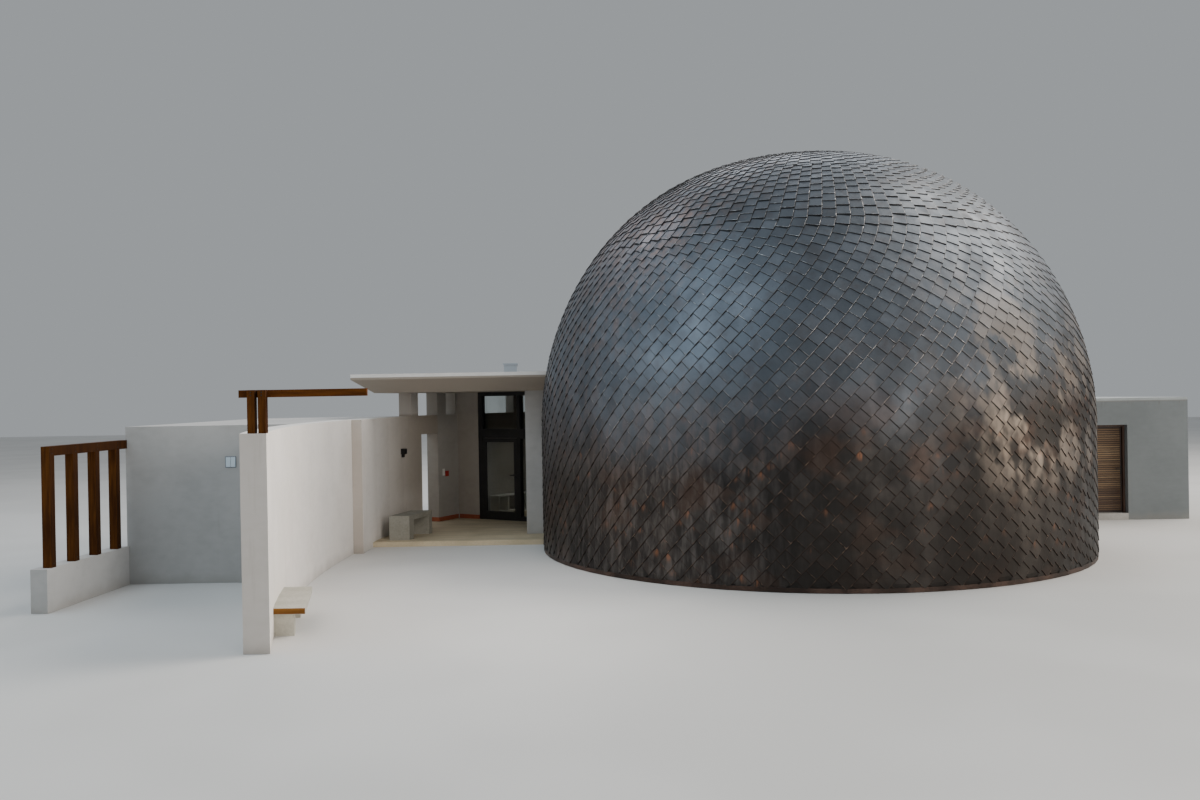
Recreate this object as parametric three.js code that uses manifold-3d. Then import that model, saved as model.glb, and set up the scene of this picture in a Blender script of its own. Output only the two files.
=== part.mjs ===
// A domed hall with its entrance porch and lobby, approach wall, service block and annex.
// Millimetres, +Z up. The origin is on the dome's axis at ground level, and the
// entrance side of the building looks towards -Y.
import * as THREE from 'three';
import { mergeVertices } from 'three/addons/utils/BufferGeometryUtils.js';
import Module from 'manifold-3d';

const wasm = await Module();
wasm.setup();

// Clearances
const GAP = 0.3;
const DOOR_GAP = 6;

// Dome: a superellipse of revolution on a short upright drum
const DOME_RADIUS = 5245;
const DOME_HEIGHT = 7630;
const WAIST_HEIGHT = 2430;
const RISE_POWER = 1.94;
const SPREAD_POWER = 2.28;
const SHELL_THICKNESS = 250;
const CROWN_THICKNESS = 180;
const SHELL_SPLIT_HEIGHT = 5200;
const CROWN_HOLE_RADIUS = 500;
const CROWN_CAP_RADIUS = 620;
const CROWN_CAP_TOP = 7650;
const FLASHING_THICKNESS = 16;
const FLASHING_BASE = 5;
const FLASHING_TOP = 75;
const FACET_ANGLE = 5;
const DRUM_SEGMENTS = 6;
const SHELL_SEGMENTS = 4;
const FIRST_JOINT_ANGLE = 30;
const FLOOR_HEIGHT = 100;
const BACK_DOOR_WIDTH = 1100;
const BACK_DOOR_HEAD = 2200;

// Ring wall round the porch and the lobby, concentric with the dome
const RING_INNER = 8800;
const WALL_THICKNESS = 310;
const WALL_HEIGHT = 2630;
const SOFFIT_HEIGHT = 3155;
const RING_START = 182.9;
const PASSAGE_START = 159.4;
const PASSAGE_END = 154.8;
const PASSAGE_HEAD = 2200;
const SIDE_WALL_END = 147.9;
const RING_JOINT = 112;
const LOBBY_END = 75;
const PIER_ANGLE = 2.2;
const APPROACH_PIER = 162.4;
const SIDE_PIERS = [154.8, 150.1];
const LOBBY_PIER_START = 145.4;
const LOBBY_PIER_PITCH = 9.2;
const LOBBY_PIERS_PER_WALL = 4;

// Flat roof over the porch and the lobby, its edges chamfered towards the soffit
const ROOF_TOP = 3540;
const ROOF_EDGE_BASE = 3430;
const ROOF_INNER_RADIUS = 5196;
const LOBBY_SOFFIT_RADIUS = 9120;
const LOBBY_ROOF_RADIUS = 9500;
const PORCH_ROOF_FRONT = 400;
const PORCH_SOFFIT_FRONT = 820;
const PORCH_ROOF_LEFT = -9190;
const PORCH_SOFFIT_LEFT = -8800;
const VENT_CENTRE = { x: -6060, y: 2140 };
const VENT_SIZE = 280;
const VENT_TOP = 3740;
const VENT_LID_SIZE = 330;
const VENT_LID_TOP = 3770;

// Fin beside the dome that carries the porch roof
const FIN_LEFT = -5700;
const FIN_FRONT = 1330;
const FIN_THICKNESS = 200;

// Radial glass screen with the entrance door, drawn along its own line
const SCREEN_ANGLE = 149.2;
const STUB_FRONT = -60;
const STUB_BACK = 140;
const SCREEN_LEFT = -8170;
const SCREEN_RIGHT = -5250;
const SCREEN_DEPTH = 100;
const DOOR_LEFT = -8050;
const DOOR_RIGHT = -7030;
const MULLION = 80;
const PANE_MULLION_LEFT = -6150;
const PANE_MULLION_WIDTH = 60;
const SCREEN_END_POST = 70;
const TRANSOM_BASE = 2060;
const TRANSOM_TOP = 2260;
const HEAD_RAIL = 80;
const SILL_RAIL = 100;
const GLASS_THICKNESS = 12;
const GLASS_LAP = 50;
const LEAF_THICKNESS = 45;
const LEAF_STILE = 80;
const LEAF_BOTTOM_RAIL = 180;
const LEAF_FLOOR_GAP = 10;
const LEAF_GLASS = 8;
const LEVER_HEIGHT = 1180;
const LEVER_LENGTH = 140;
const LEVER_STANDOFF = 50;
const LEVER_WIDTH = 22;
const LEVER_INSET = 45;

// Hinges: pin barrels just proud of the face, the leaf's barrel on top of the frame's
const HINGE_OFFSET = 10;
const HINGE_RADIUS = 8;
const HINGE_BARREL = 55;
const HINGE_STRAP = { near: 2, far: 28, proud: 6 };
const HINGE_END_DISTANCE = 200;
const HINGE_COUNT = 3;
const HINGE_SIDES = 12;

// Shoe bench against the lobby's ring wall
const SHOE_BENCH = { angle: 138, radius: 8400, depth: 320, length: 1300, top: 550 };
const SHOE_CUBBIES = 4;
const SHOE_BOARD = 30;

// Wall lamp on the approach wall
const LAMP = { angle: 165.5, reach: 8700, width: 120, base: 1800, top: 1920 };
const LAMP_SPOUT = { reach: 8740, width: 60, base: 1730 };

// Cast benches, parallel to the walls beside them
const LONG_BENCH = {
  near: { y: 650, left: -8500, right: -8085 },
  far: { y: 1700, left: -8250, right: -7790 },
  base: FLOOR_HEIGHT,
  top: 600,
  seat: 100,
  legs: [[0, 0.19], [0.86, 1]],
  legInset: 0,
};
const LOW_BENCH = {
  near: { y: -7424, left: -8420, right: -7894 },
  far: { y: -5940, left: -8700, right: -8227 },
  base: 0,
  top: 375,
  seat: 80,
  legs: [[0.06, 0.2], [0.8, 0.94]],
  legInset: 150,
};

// Near part of the approach wall: a flat arc bulging to the left
const NEAR_WALL = { x: 14290, y: -1730, radius: 23300, facet: 1.5, start: -8250, end: -461 };

// Timber pergola on the near end of the approach wall
const PERGOLA_POST = 90;
const PERGOLA_POST_LEFTS = [-8310, -8180];
const PERGOLA_POST_FRONT = -8230;
const PERGOLA_TOP = 3150;
const PERGOLA_BEAM = { left: -8440, right: -6900, depth: 60, height: 90 };

// Flat-roofed service block behind the approach wall
const BLOCK_WALL = 230;
const BLOCK_LEFT = -12030;
const BLOCK_FRONT = -3400;
const BLOCK_REAR = 3100;
const BLOCK_DOOR_WIDTH = 900;
const BLOCK_ROOF_THICKNESS = 150;

// Timber screen on a low plinth, turned a little from the block's side
const SCREEN_TURN = -3;
const PLINTH = { left: -220, right: 30, length: 2300, top: 640 };
const TIMBER_POST = { left: -105, right: 25, depth: 120, first: -2180, pitch: 607, count: 4 };
const TIMBER_BEAM_BASE = 2270;
const TIMBER_BEAM_TOP = 2410;

// Annex on the dome's right
const ANNEX_WALL = 230;
const ANNEX_LEFT = 4620;
const ANNEX_RIGHT = 9260;
const ANNEX_FRONT = 2720;
const ANNEX_REAR = 6900;
const ANNEX_TOP = 2770;
const ANNEX_ROOF_THICKNESS = 80;
const ANNEX_FLOOR = 150;
const ANNEX_DOOR_LEFT = 6980;
const ANNEX_DOOR_RIGHT = 7880;
const ANNEX_DOOR_HEAD = 2160;
const ANNEX_FRAME_WIDTH = 45;
const ANNEX_FRAME_FRONT = 2850;
const ANNEX_FRAME_DEPTH = 100;
const PANEL_RECESS = 12;
const PANEL_BORDER = 30;
const ANNEX_LEVER_HEIGHT = 1150;

// Finishes
const finish = (color, roughness, metalness = 0) => ({ color, roughness, metalness });
const RENDER = finish(0xd6d3d1, 0.85);
const ROOF_RENDER = finish(0xc4bfb9, 0.85);
const CONCRETE = finish(0xb9b4aa, 0.8);
const COPPER = finish(0x5a4c46, 0.5, 0.7);
const TIMBER = finish(0x4a2415, 0.6);
const BLACK_METAL = finish(0x1a1a1c, 0.45, 0.5);
const CLEAR_GLASS = finish(0x8fa5a5, 0.05);
const REED = finish(0x7a5138, 0.6);
const WHITE_BOARD = finish(0xd9d9d6, 0.6);

const model = new THREE.Group();

// Places one named piece, with a material of its own, in a group
function addPiece(name, geometry, look, group = model) {
  const mesh = new THREE.Mesh(geometry, new THREE.MeshStandardMaterial(look));
  mesh.name = name;
  group.add(mesh);
  return mesh;
}

const radians = (degrees) => THREE.MathUtils.degToRad(degrees);

function box(x0, x1, y0, y1, z0, z1) {
  const geometry = new THREE.BoxGeometry(x1 - x0, y1 - y0, z1 - z0);
  return geometry.translate((x0 + x1) / 2, (y0 + y1) / 2, (z0 + z1) / 2);
}

function prism(points, z0, z1) {
  const shape = new THREE.Shape(points);
  const geometry = new THREE.ExtrudeGeometry(shape, { depth: z1 - z0, bevelEnabled: false });
  return geometry.translate(0, 0, z0);
}

// A prism drawn in the X-Z plane and extruded along Y
function uprightPanel(points, y0, y1) {
  return prism(points, -y1, -y0).rotateX(Math.PI / 2);
}

function asSolid(geometry) {
  const bare = geometry.clone();
  bare.deleteAttribute('normal');
  bare.deleteAttribute('uv');
  const merged = mergeVertices(bare, 0.001);
  const vertProperties = new Float32Array(merged.attributes.position.array);
  const triVerts = new Uint32Array(merged.index.array);
  return new wasm.Manifold(new wasm.Mesh({ numProp: 3, vertProperties, triVerts }));
}

function asGeometry(solid) {
  const { vertProperties, triVerts, numProp } = solid.getMesh();
  const positions = [];
  for (let i = 0; i < vertProperties.length; i += numProp) {
    positions.push(vertProperties[i], vertProperties[i + 1], vertProperties[i + 2]);
  }
  const geometry = new THREE.BufferGeometry();
  geometry.setAttribute('position', new THREE.Float32BufferAttribute(positions, 3));
  geometry.setIndex(Array.from(triVerts));
  geometry.computeVertexNormals();
  return geometry;
}

const cut = (body, ...tools) =>
  asGeometry(tools.reduce((solid, tool) => solid.subtract(asSolid(tool)), asSolid(body)));
const join = (...bodies) =>
  asGeometry(bodies.map(asSolid).reduce((solid, next) => solid.add(next)));
const common = (body, ...tools) =>
  asGeometry(tools.reduce((solid, tool) => solid.intersect(asSolid(tool)), asSolid(body)));

// Every ring about one centre is a polygon with its corners at the same angles, so that
// concentric faces stay parallel. A point between two corners lies on the chord.
function ringPoint(radius, angle, facet = FACET_ANGLE, centre = { x: 0, y: 0 }) {
  const past = ((angle % facet) + facet) % facet;
  const reach = (radius * Math.cos(radians(facet / 2))) / Math.cos(radians(past - facet / 2));
  const x = centre.x + reach * Math.cos(radians(angle));
  const y = centre.y + reach * Math.sin(radians(angle));
  return new THREE.Vector2(x, y);
}

function arcPoints(radius, from, to, facet = FACET_ANGLE, centre) {
  const angles = [from];
  for (let angle = (Math.floor(from / facet + 1e-6) + 1) * facet; angle < to - 1e-6; angle += facet) {
    angles.push(angle);
  }
  angles.push(to);
  return angles.map((angle) => ringPoint(radius, angle, facet, centre));
}

function ringWall(inner, outer, from, to, z0, z1) {
  const points = [...arcPoints(outer, from, to), ...arcPoints(inner, from, to).reverse()];
  return prism(points, z0, z1);
}

const FULL_TURN = 360 - FACET_ANGLE;
const disc = (radius, z0, z1) => prism(arcPoints(radius, 0, FULL_TURN), z0, z1);

// A closed (radius, height) outline turned about the dome's axis
function turned(outline) {
  const points = [...outline, outline[0]].map(([r, z]) => new THREE.Vector2(r, z));
  const geometry = new THREE.LatheGeometry(points, 360 / FACET_ANGLE).rotateX(Math.PI / 2);
  // The last column of corners is laid exactly on the first, so that the seam closes
  const { position } = geometry.attributes;
  const seam = position.count - points.length;
  points.forEach((_, i) => {
    position.setXYZ(seam + i, position.getX(i), position.getY(i), position.getZ(i));
  });
  return geometry;
}

function sector(from, to, radius, z0, z1) {
  const corners = [from, (from + to) / 2, to].map((angle) =>
    new THREE.Vector2(radius, 0).rotateAround(new THREE.Vector2(), radians(angle)));
  return prism([new THREE.Vector2(0, 0), ...corners], z0, z1);
}

// A frame whose -X axis points out along one angle of the dome's plan
function radialGroup(angle) {
  const group = new THREE.Group();
  group.rotation.z = radians(angle - 180);
  model.add(group);
  return group;
}

const intoWorld = (geometry, angle) => geometry.rotateZ(radians(angle - 180));

// Dome profile: radius and height at one step of the superellipse
function profilePoint(radius, height, step) {
  const r = radius * Math.cos(step) ** (2 / SPREAD_POWER);
  const z = WAIST_HEIGHT + (height - WAIST_HEIGHT) * Math.sin(step) ** (2 / RISE_POWER);
  return [r, z];
}

const stepAtHeight = (height, z) =>
  Math.asin(((z - WAIST_HEIGHT) / (height - WAIST_HEIGHT)) ** (RISE_POWER / 2));
const stepAtRadius = (radius, r) => Math.acos((r / radius) ** (SPREAD_POWER / 2));
const heightAtRadius = (radius, height, r) =>
  profilePoint(radius, height, stepAtRadius(radius, r))[1];

function profileRun(radius, height, from, to, count) {
  return Array.from({ length: count + 1 }, (_, i) =>
    profilePoint(radius, height, from + ((to - from) * i) / count));
}

const INNER_RADIUS = DOME_RADIUS - SHELL_THICKNESS;
const INNER_HEIGHT = DOME_HEIGHT - CROWN_THICKNESS;

function shellRing(fromOuter, toOuter, fromInner, toInner, count) {
  const outside = profileRun(DOME_RADIUS, DOME_HEIGHT, fromOuter, toOuter, count);
  const inside = profileRun(INNER_RADIUS, INNER_HEIGHT, fromInner, toInner, count);
  return turned([...outside, ...inside.reverse()]);
}

// Keeps the joint between two turned segments open by a hair
const JOINT_ANGLE = THREE.MathUtils.radToDeg(GAP / 2 / INNER_RADIUS);

function buildDome() {
  addPiece('dome_floor', disc(INNER_RADIUS - GAP, 0, FLOOR_HEIGHT), CONCRETE);
  const half = BACK_DOOR_WIDTH / 2;
  const doorway = box(-half, half, INNER_RADIUS - 500, DOME_RADIUS + 100, -1, WAIST_HEIGHT + 1);
  const drumTurn = 360 / DRUM_SEGMENTS;
  for (let i = 0; i < DRUM_SEGMENTS; i += 1) {
    const from = FIRST_JOINT_ANGLE + i * drumTurn;
    const wall = ringWall(
      INNER_RADIUS, DOME_RADIUS, from + JOINT_ANGLE, from + drumTurn - JOINT_ANGLE, 0, WAIST_HEIGHT);
    const atDoor = from <= 90 && from + drumTurn >= 90;
    addPiece(`drum_wall_${i + 1}`, atDoor ? cut(wall, doorway) : wall, COPPER);
  }
  const lintelRing = ringWall(INNER_RADIUS, DOME_RADIUS, 80, 100, BACK_DOOR_HEAD, WAIST_HEIGHT);
  const lintelSpan = box(-half + GAP, half - GAP, 0, DOME_RADIUS + 100, 0, WAIST_HEIGHT);
  addPiece('drum_lintel', common(lintelRing, lintelSpan), COPPER);

  const outerSplit = stepAtHeight(DOME_HEIGHT, SHELL_SPLIT_HEIGHT);
  const innerSplit = stepAtHeight(INNER_HEIGHT, SHELL_SPLIT_HEIGHT);
  const outerCrown = stepAtRadius(DOME_RADIUS, CROWN_HOLE_RADIUS);
  const innerCrown = stepAtRadius(INNER_RADIUS, CROWN_HOLE_RADIUS);
  const lower = shellRing(0, outerSplit, 0, innerSplit, 5);
  const upper = shellRing(outerSplit, outerCrown, innerSplit, innerCrown, 8);
  const shellTurn = 360 / SHELL_SEGMENTS;
  for (let i = 0; i < SHELL_SEGMENTS; i += 1) {
    const from = FIRST_JOINT_ANGLE + i * shellTurn + JOINT_ANGLE;
    const to = from + shellTurn - 2 * JOINT_ANGLE;
    const wedge = sector(from, to, 2 * DOME_RADIUS, 0, DOME_HEIGHT + 100);
    addPiece(`lower_shell_${i + 1}`, common(lower, wedge), COPPER);
    addPiece(`upper_shell_${i + 1}`, common(upper, wedge), COPPER);
  }

  const seat = (r) => heightAtRadius(DOME_RADIUS, DOME_HEIGHT, r) + 1;
  const plug = CROWN_HOLE_RADIUS - GAP;
  addPiece('crown_cap', turned([
    [0, heightAtRadius(INNER_RADIUS, INNER_HEIGHT, CROWN_HOLE_RADIUS)],
    [plug, heightAtRadius(INNER_RADIUS, INNER_HEIGHT, CROWN_HOLE_RADIUS)],
    [plug, seat(CROWN_HOLE_RADIUS)],
    [CROWN_CAP_RADIUS, seat(CROWN_CAP_RADIUS)],
    [CROWN_CAP_RADIUS, seat(CROWN_CAP_RADIUS) + 14],
    [CROWN_CAP_RADIUS / 2, CROWN_CAP_TOP - 4],
    [0, CROWN_CAP_TOP],
  ]), COPPER);

  const landingEdge = 177.2;
  const endWallEdge = 360 + LOBBY_END - 2.8;
  const flashingInner = DOME_RADIUS + GAP;
  addPiece('base_flashing', ringWall(
    flashingInner, flashingInner + FLASHING_THICKNESS,
    landingEdge, endWallEdge, FLASHING_BASE, FLASHING_TOP), COPPER);
}

// The porch and lobby keep to a plan region: behind the porch front, left of the end wall
function hallRegion(front, end, z0, z1) {
  const reach = 9900;
  const slope = 1 / Math.tan(radians(end));
  return prism([
    new THREE.Vector2(-reach, front),
    new THREE.Vector2(front * slope, front),
    new THREE.Vector2(reach * slope, reach),
    new THREE.Vector2(-reach, reach),
  ], z0, z1);
}

const RING_OUTER = RING_INNER + WALL_THICKNESS;

function pier(angle) {
  return ringWall(RING_INNER, RING_OUTER, angle - PIER_ANGLE, angle, WALL_HEIGHT - 1, SOFFIT_HEIGHT);
}

function buildHallWalls() {
  const step = JOINT_ANGLE;
  const approach = ringWall(RING_INNER, RING_OUTER, PASSAGE_START, RING_START, 0, WALL_HEIGHT);
  addPiece('ring_approach_wall', join(approach, pier(APPROACH_PIER)), RENDER);
  addPiece('passage_lintel', ringWall(RING_INNER, RING_OUTER,
    PASSAGE_END + step, PASSAGE_START - step, PASSAGE_HEAD, WALL_HEIGHT), RENDER);
  const side = ringWall(RING_INNER, RING_OUTER, SIDE_WALL_END, PASSAGE_END, 0, WALL_HEIGHT);
  addPiece('lobby_side_wall', join(side, ...SIDE_PIERS.map(pier)), RENDER);

  const joints = [SIDE_WALL_END, RING_JOINT, LOBBY_END];
  for (let i = 0; i < 2; i += 1) {
    const wall = ringWall(
      RING_INNER, RING_OUTER, joints[i + 1] + step, joints[i] - step, 0, WALL_HEIGHT);
    const piers = Array.from({ length: LOBBY_PIERS_PER_WALL }, (_, k) =>
      pier(LOBBY_PIER_START - (i * LOBBY_PIERS_PER_WALL + k) * LOBBY_PIER_PITCH));
    addPiece(`lobby_ring_wall_${i + 1}`, join(wall, ...piers), RENDER);
  }

  const end = radialGroup(LOBBY_END);
  addPiece('lobby_end_wall', box(-RING_OUTER, -DOME_RADIUS - GAP, 0, BLOCK_WALL, 0, SOFFIT_HEIGHT),
    RENDER, end);

  const stub = intoWorld(
    box(-RING_OUTER, SCREEN_LEFT - GAP, STUB_FRONT, STUB_BACK, FLOOR_HEIGHT, SOFFIT_HEIGHT), SCREEN_ANGLE);
  addPiece('screen_stub_wall', common(stub, disc(RING_INNER - GAP, 0, SOFFIT_HEIGHT)), RENDER);

  const fin = box(FIN_LEFT, 0, FIN_FRONT, FIN_FRONT + FIN_THICKNESS, FLOOR_HEIGHT, SOFFIT_HEIGHT);
  addPiece('dome_fin', cut(fin, disc(DOME_RADIUS + GAP, 0, ROOF_TOP)), RENDER);
}

function buildHallFloor() {
  const ring = ringWall(DOME_RADIUS + GAP, RING_INNER - GAP, LOBBY_END - 5, 185, 0, FLOOR_HEIGHT);
  const room = common(ring, hallRegion(PORCH_ROOF_FRONT, LOBBY_END, -1, FLOOR_HEIGHT + 1));
  const passage = ringWall(
    RING_INNER - 50, RING_OUTER, PASSAGE_END + JOINT_ANGLE, PASSAGE_START - JOINT_ANGLE, 0, FLOOR_HEIGHT);
  const half = BACK_DOOR_WIDTH / 2 - GAP;
  const sill = common(
    ringWall(INNER_RADIUS, DOME_RADIUS + 50, 80, 100, 0, FLOOR_HEIGHT),
    box(-half, half, 0, RING_INNER, -1, FLOOR_HEIGHT + 1));
  addPiece('hall_floor', join(room, passage, sill), CONCRETE);
}

function buildHallRoof() {
  const ring = turned([
    [ROOF_INNER_RADIUS, SOFFIT_HEIGHT],
    [LOBBY_SOFFIT_RADIUS, SOFFIT_HEIGHT],
    [LOBBY_ROOF_RADIUS, ROOF_EDGE_BASE],
    [LOBBY_ROOF_RADIUS, ROOF_TOP],
    [ROOF_INNER_RADIUS, ROOF_TOP],
  ]);
  const below = SOFFIT_HEIGHT - 10;
  const above = ROOF_TOP + 10;
  const porch = sector(SCREEN_ANGLE + JOINT_ANGLE, 200, 2 * LOBBY_ROOF_RADIUS, below, above);
  const porchSpan = box(PORCH_ROOF_LEFT, 0, PORCH_ROOF_FRONT, LOBBY_ROOF_RADIUS, below, above);
  const reach = LOBBY_ROOF_RADIUS + 100;
  // Chamfers: wedges in section, run along the front and the left edge
  const frontWedge = prism([
    new THREE.Vector2(PORCH_ROOF_FRONT - 1, ROOF_EDGE_BASE),
    new THREE.Vector2(PORCH_ROOF_FRONT - 1, below),
    new THREE.Vector2(PORCH_SOFFIT_FRONT, below),
    new THREE.Vector2(PORCH_SOFFIT_FRONT, SOFFIT_HEIGHT),
  ], -reach, 0);
  const axes = [[0, 1, 0], [0, 0, 1], [1, 0, 0]].map((axis) => new THREE.Vector3(...axis));
  frontWedge.applyMatrix4(new THREE.Matrix4().makeBasis(...axes));
  const leftWedge = uprightPanel([
    new THREE.Vector2(PORCH_ROOF_LEFT - 1, ROOF_EDGE_BASE),
    new THREE.Vector2(PORCH_ROOF_LEFT - 1, below),
    new THREE.Vector2(PORCH_SOFFIT_LEFT, below),
    new THREE.Vector2(PORCH_SOFFIT_LEFT, SOFFIT_HEIGHT),
  ], 0, reach);
  addPiece('porch_roof', cut(common(ring, porch, porchSpan), frontWedge, leftWedge), ROOF_RENDER);

  const lobby = sector(LOBBY_END - 2, SCREEN_ANGLE - JOINT_ANGLE, 2 * LOBBY_ROOF_RADIUS, below, above);
  addPiece('lobby_roof', common(ring, lobby), ROOF_RENDER);

  const centred = (size, z0, z1) => box(
    VENT_CENTRE.x - size / 2, VENT_CENTRE.x + size / 2,
    VENT_CENTRE.y - size / 2, VENT_CENTRE.y + size / 2, z0, z1);
  addPiece('roof_vent', join(
    centred(VENT_SIZE, ROOF_TOP, VENT_TOP),
    centred(VENT_LID_SIZE, VENT_TOP - 1, VENT_LID_TOP)), WHITE_BOARD);
}

// A lever handle: a short neck and a bar, in front of (-1) or behind (+1) a face
function lever(x, face, side, towards, height) {
  const neckEnd = face + side * LEVER_STANDOFF;
  const barEnd = x + towards * LEVER_LENGTH;
  const half = LEVER_WIDTH / 2;
  const sorted = (a, b) => [Math.min(a, b), Math.max(a, b)];
  const neck = box(x - half, x + half, ...sorted(face - side * 2, neckEnd), height - half, height + half);
  const bar = box(...sorted(x - towards * half, barEnd), ...sorted(neckEnd - side * 14, neckEnd),
    height - half, height + half);
  return join(neck, bar);
}

// Barrels and straps at even heights along a leaf hung on its left edge. The straps lie
// on the given face, and side is the way that face looks.
function hinges(x, face, side, base, top) {
  const axis = face + side * HINGE_OFFSET;
  const first = base + HINGE_END_DISTANCE;
  const pitch = (top - HINGE_END_DISTANCE - 2 * HINGE_BARREL - first) / (HINGE_COUNT - 1);
  const depths = [face - side, face + side * HINGE_STRAP.proud].sort((a, b) => a - b);
  const half = (z, towards) => {
    const barrel = new THREE.CylinderGeometry(HINGE_RADIUS, HINGE_RADIUS, HINGE_BARREL, HINGE_SIDES)
      .rotateX(Math.PI / 2).translate(x, axis, z + HINGE_BARREL / 2);
    const span = [x + towards * HINGE_STRAP.near, x + towards * HINGE_STRAP.far].sort((a, b) => a - b);
    return [barrel, box(...span, ...depths, z, z + HINGE_BARREL)];
  };
  const heights = Array.from({ length: HINGE_COUNT }, (_, i) => first + i * pitch);
  return {
    fixed: heights.flatMap((z) => half(z, -1)),
    moving: heights.flatMap((z) => half(z + HINGE_BARREL + GAP, 1)),
  };
}

function buildScreen() {
  const group = radialGroup(SCREEN_ANGLE);
  const front = -SCREEN_DEPTH / 2;
  const back = SCREEN_DEPTH / 2;
  const lightTop = SOFFIT_HEIGHT - HEAD_RAIL;
  const paneBase = FLOOR_HEIGHT + SILL_RAIL;
  const firstPane = [DOOR_RIGHT + MULLION, PANE_MULLION_LEFT];
  const secondPane = [PANE_MULLION_LEFT + PANE_MULLION_WIDTH, SCREEN_RIGHT - SCREEN_END_POST];
  const outline = [
    [SCREEN_LEFT, FLOOR_HEIGHT], [DOOR_LEFT, FLOOR_HEIGHT], [DOOR_LEFT, TRANSOM_BASE],
    [DOOR_RIGHT, TRANSOM_BASE], [DOOR_RIGHT, FLOOR_HEIGHT], [SCREEN_RIGHT, FLOOR_HEIGHT],
    [SCREEN_RIGHT, SOFFIT_HEIGHT], [SCREEN_LEFT, SOFFIT_HEIGHT],
  ].map(([x, z]) => new THREE.Vector2(x, z));
  const lights = [[DOOR_LEFT, DOOR_RIGHT], firstPane, secondPane].map(([x0, x1]) =>
    box(x0, x1, front - 1, back + 1, TRANSOM_TOP, lightTop));
  const panes = [firstPane, secondPane].map(([x0, x1]) =>
    box(x0, x1, front - 1, back + 1, paneBase, TRANSOM_BASE));
  const left = DOOR_LEFT + DOOR_GAP;
  const right = DOOR_RIGHT - DOOR_GAP;
  const base = FLOOR_HEIGHT + LEAF_FLOOR_GAP;
  const top = TRANSOM_BASE - DOOR_GAP;
  const { fixed, moving } = hinges(DOOR_LEFT + DOOR_GAP / 2, front, -1, base, top);
  addPiece('screen_frame', join(
    cut(uprightPanel(outline, front, back), ...lights, ...panes), ...fixed), BLACK_METAL, group);

  const sheet = [
    [DOOR_LEFT - GLASS_LAP, TRANSOM_BASE + GLASS_LAP],
    [DOOR_RIGHT + GLASS_LAP / 2, TRANSOM_BASE + GLASS_LAP],
    [DOOR_RIGHT + GLASS_LAP / 2, paneBase - GLASS_LAP],
    [SCREEN_RIGHT - SCREEN_END_POST / 2, paneBase - GLASS_LAP],
    [SCREEN_RIGHT - SCREEN_END_POST / 2, lightTop + GLASS_LAP],
    [DOOR_LEFT - GLASS_LAP, lightTop + GLASS_LAP],
  ].map(([x, z]) => new THREE.Vector2(x, z));
  addPiece('screen_glass', uprightPanel(sheet, back + GAP, back + GAP + GLASS_THICKNESS),
    CLEAR_GLASS, group);

  const hole = [left + LEAF_STILE, right - LEAF_STILE, base + LEAF_BOTTOM_RAIL, top - LEAF_STILE];
  const leaf = cut(
    box(left, right, front, front + LEAF_THICKNESS, base, top),
    box(hole[0], hole[1], front - 1, front + LEAF_THICKNESS + 1, hole[2], hole[3]));
  const leverX = right - LEVER_INSET;
  addPiece('entrance_door', join(
    leaf,
    ...moving,
    lever(leverX, front, -1, -1, LEVER_HEIGHT),
    lever(leverX, front + LEAF_THICKNESS, 1, -1, LEVER_HEIGHT)), BLACK_METAL, group);

  const paneFront = front + (LEAF_THICKNESS - LEAF_GLASS) / 2;
  addPiece('entrance_door_glass', box(
    hole[0] + GAP, hole[1] - GAP, paneFront, paneFront + LEAF_GLASS, hole[2] + GAP, hole[3] - GAP),
    CLEAR_GLASS, group);
}

function buildShoeBench() {
  const { angle, radius, depth, length, top } = SHOE_BENCH;
  const group = radialGroup(angle);
  const width = (length - SHOE_BOARD) / SHOE_CUBBIES;
  const cubbies = Array.from({ length: SHOE_CUBBIES }, (_, i) => {
    const start = -length / 2 + SHOE_BOARD + i * width;
    return box(-radius - depth + SHOE_BOARD, -radius + 1, start, start + width - SHOE_BOARD,
      FLOOR_HEIGHT + 2 * SHOE_BOARD, top - SHOE_BOARD);
  });
  const block = box(-radius - depth, -radius, -length / 2, length / 2, FLOOR_HEIGHT, top);
  addPiece('shoe_bench', cut(block, ...cubbies), WHITE_BOARD, group);
}

function buildLamp() {
  const block = ({ reach, width }, z0, z1) =>
    intoWorld(box(-RING_OUTER, -reach, -width / 2, width / 2, z0, z1), LAMP.angle);
  const lamp = join(
    block(LAMP, LAMP.base, LAMP.top), block(LAMP_SPOUT, LAMP_SPOUT.base, LAMP.base + 5));
  addPiece('wall_lamp', common(lamp, disc(RING_INNER - GAP, 0, SOFFIT_HEIGHT)), BLACK_METAL);
}

// A cast seat on two legs whose long sides slant with the wall beside it. The legs may stop
// short of the seat's front. A limit trims the side that lies against a wall.
function buildBench(name, bench, limit) {
  const at = (t) => {
    const mix = (a, b) => a + (b - a) * t;
    const y = mix(bench.near.y, bench.far.y);
    return [
      new THREE.Vector2(mix(bench.near.left, bench.far.left), y),
      new THREE.Vector2(mix(bench.near.right, bench.far.right), y),
    ];
  };
  const slice = (from, to, z0, z1, inset = 0) => {
    const [nearLeft, nearRight] = at(from);
    const [farLeft, farRight] = at(to);
    nearRight.x -= inset;
    farRight.x -= inset;
    return prism([nearLeft, nearRight, farRight, farLeft], z0, z1);
  };
  const underside = bench.top - bench.seat;
  const legs = bench.legs.map(([from, to]) => slice(
    from, to, bench.base, underside + 1, bench.legInset));
  const body = join(slice(0, 1, underside, bench.top), ...legs);
  addPiece(name, limit ? common(body, limit) : body, CONCRETE);
}

const nearAngle = (radius, y) =>
  180 - THREE.MathUtils.radToDeg(Math.asin((y - NEAR_WALL.y) / radius));

function nearArc(radius, from, to) {
  return arcPoints(radius, from, to, NEAR_WALL.facet, NEAR_WALL);
}

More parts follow.
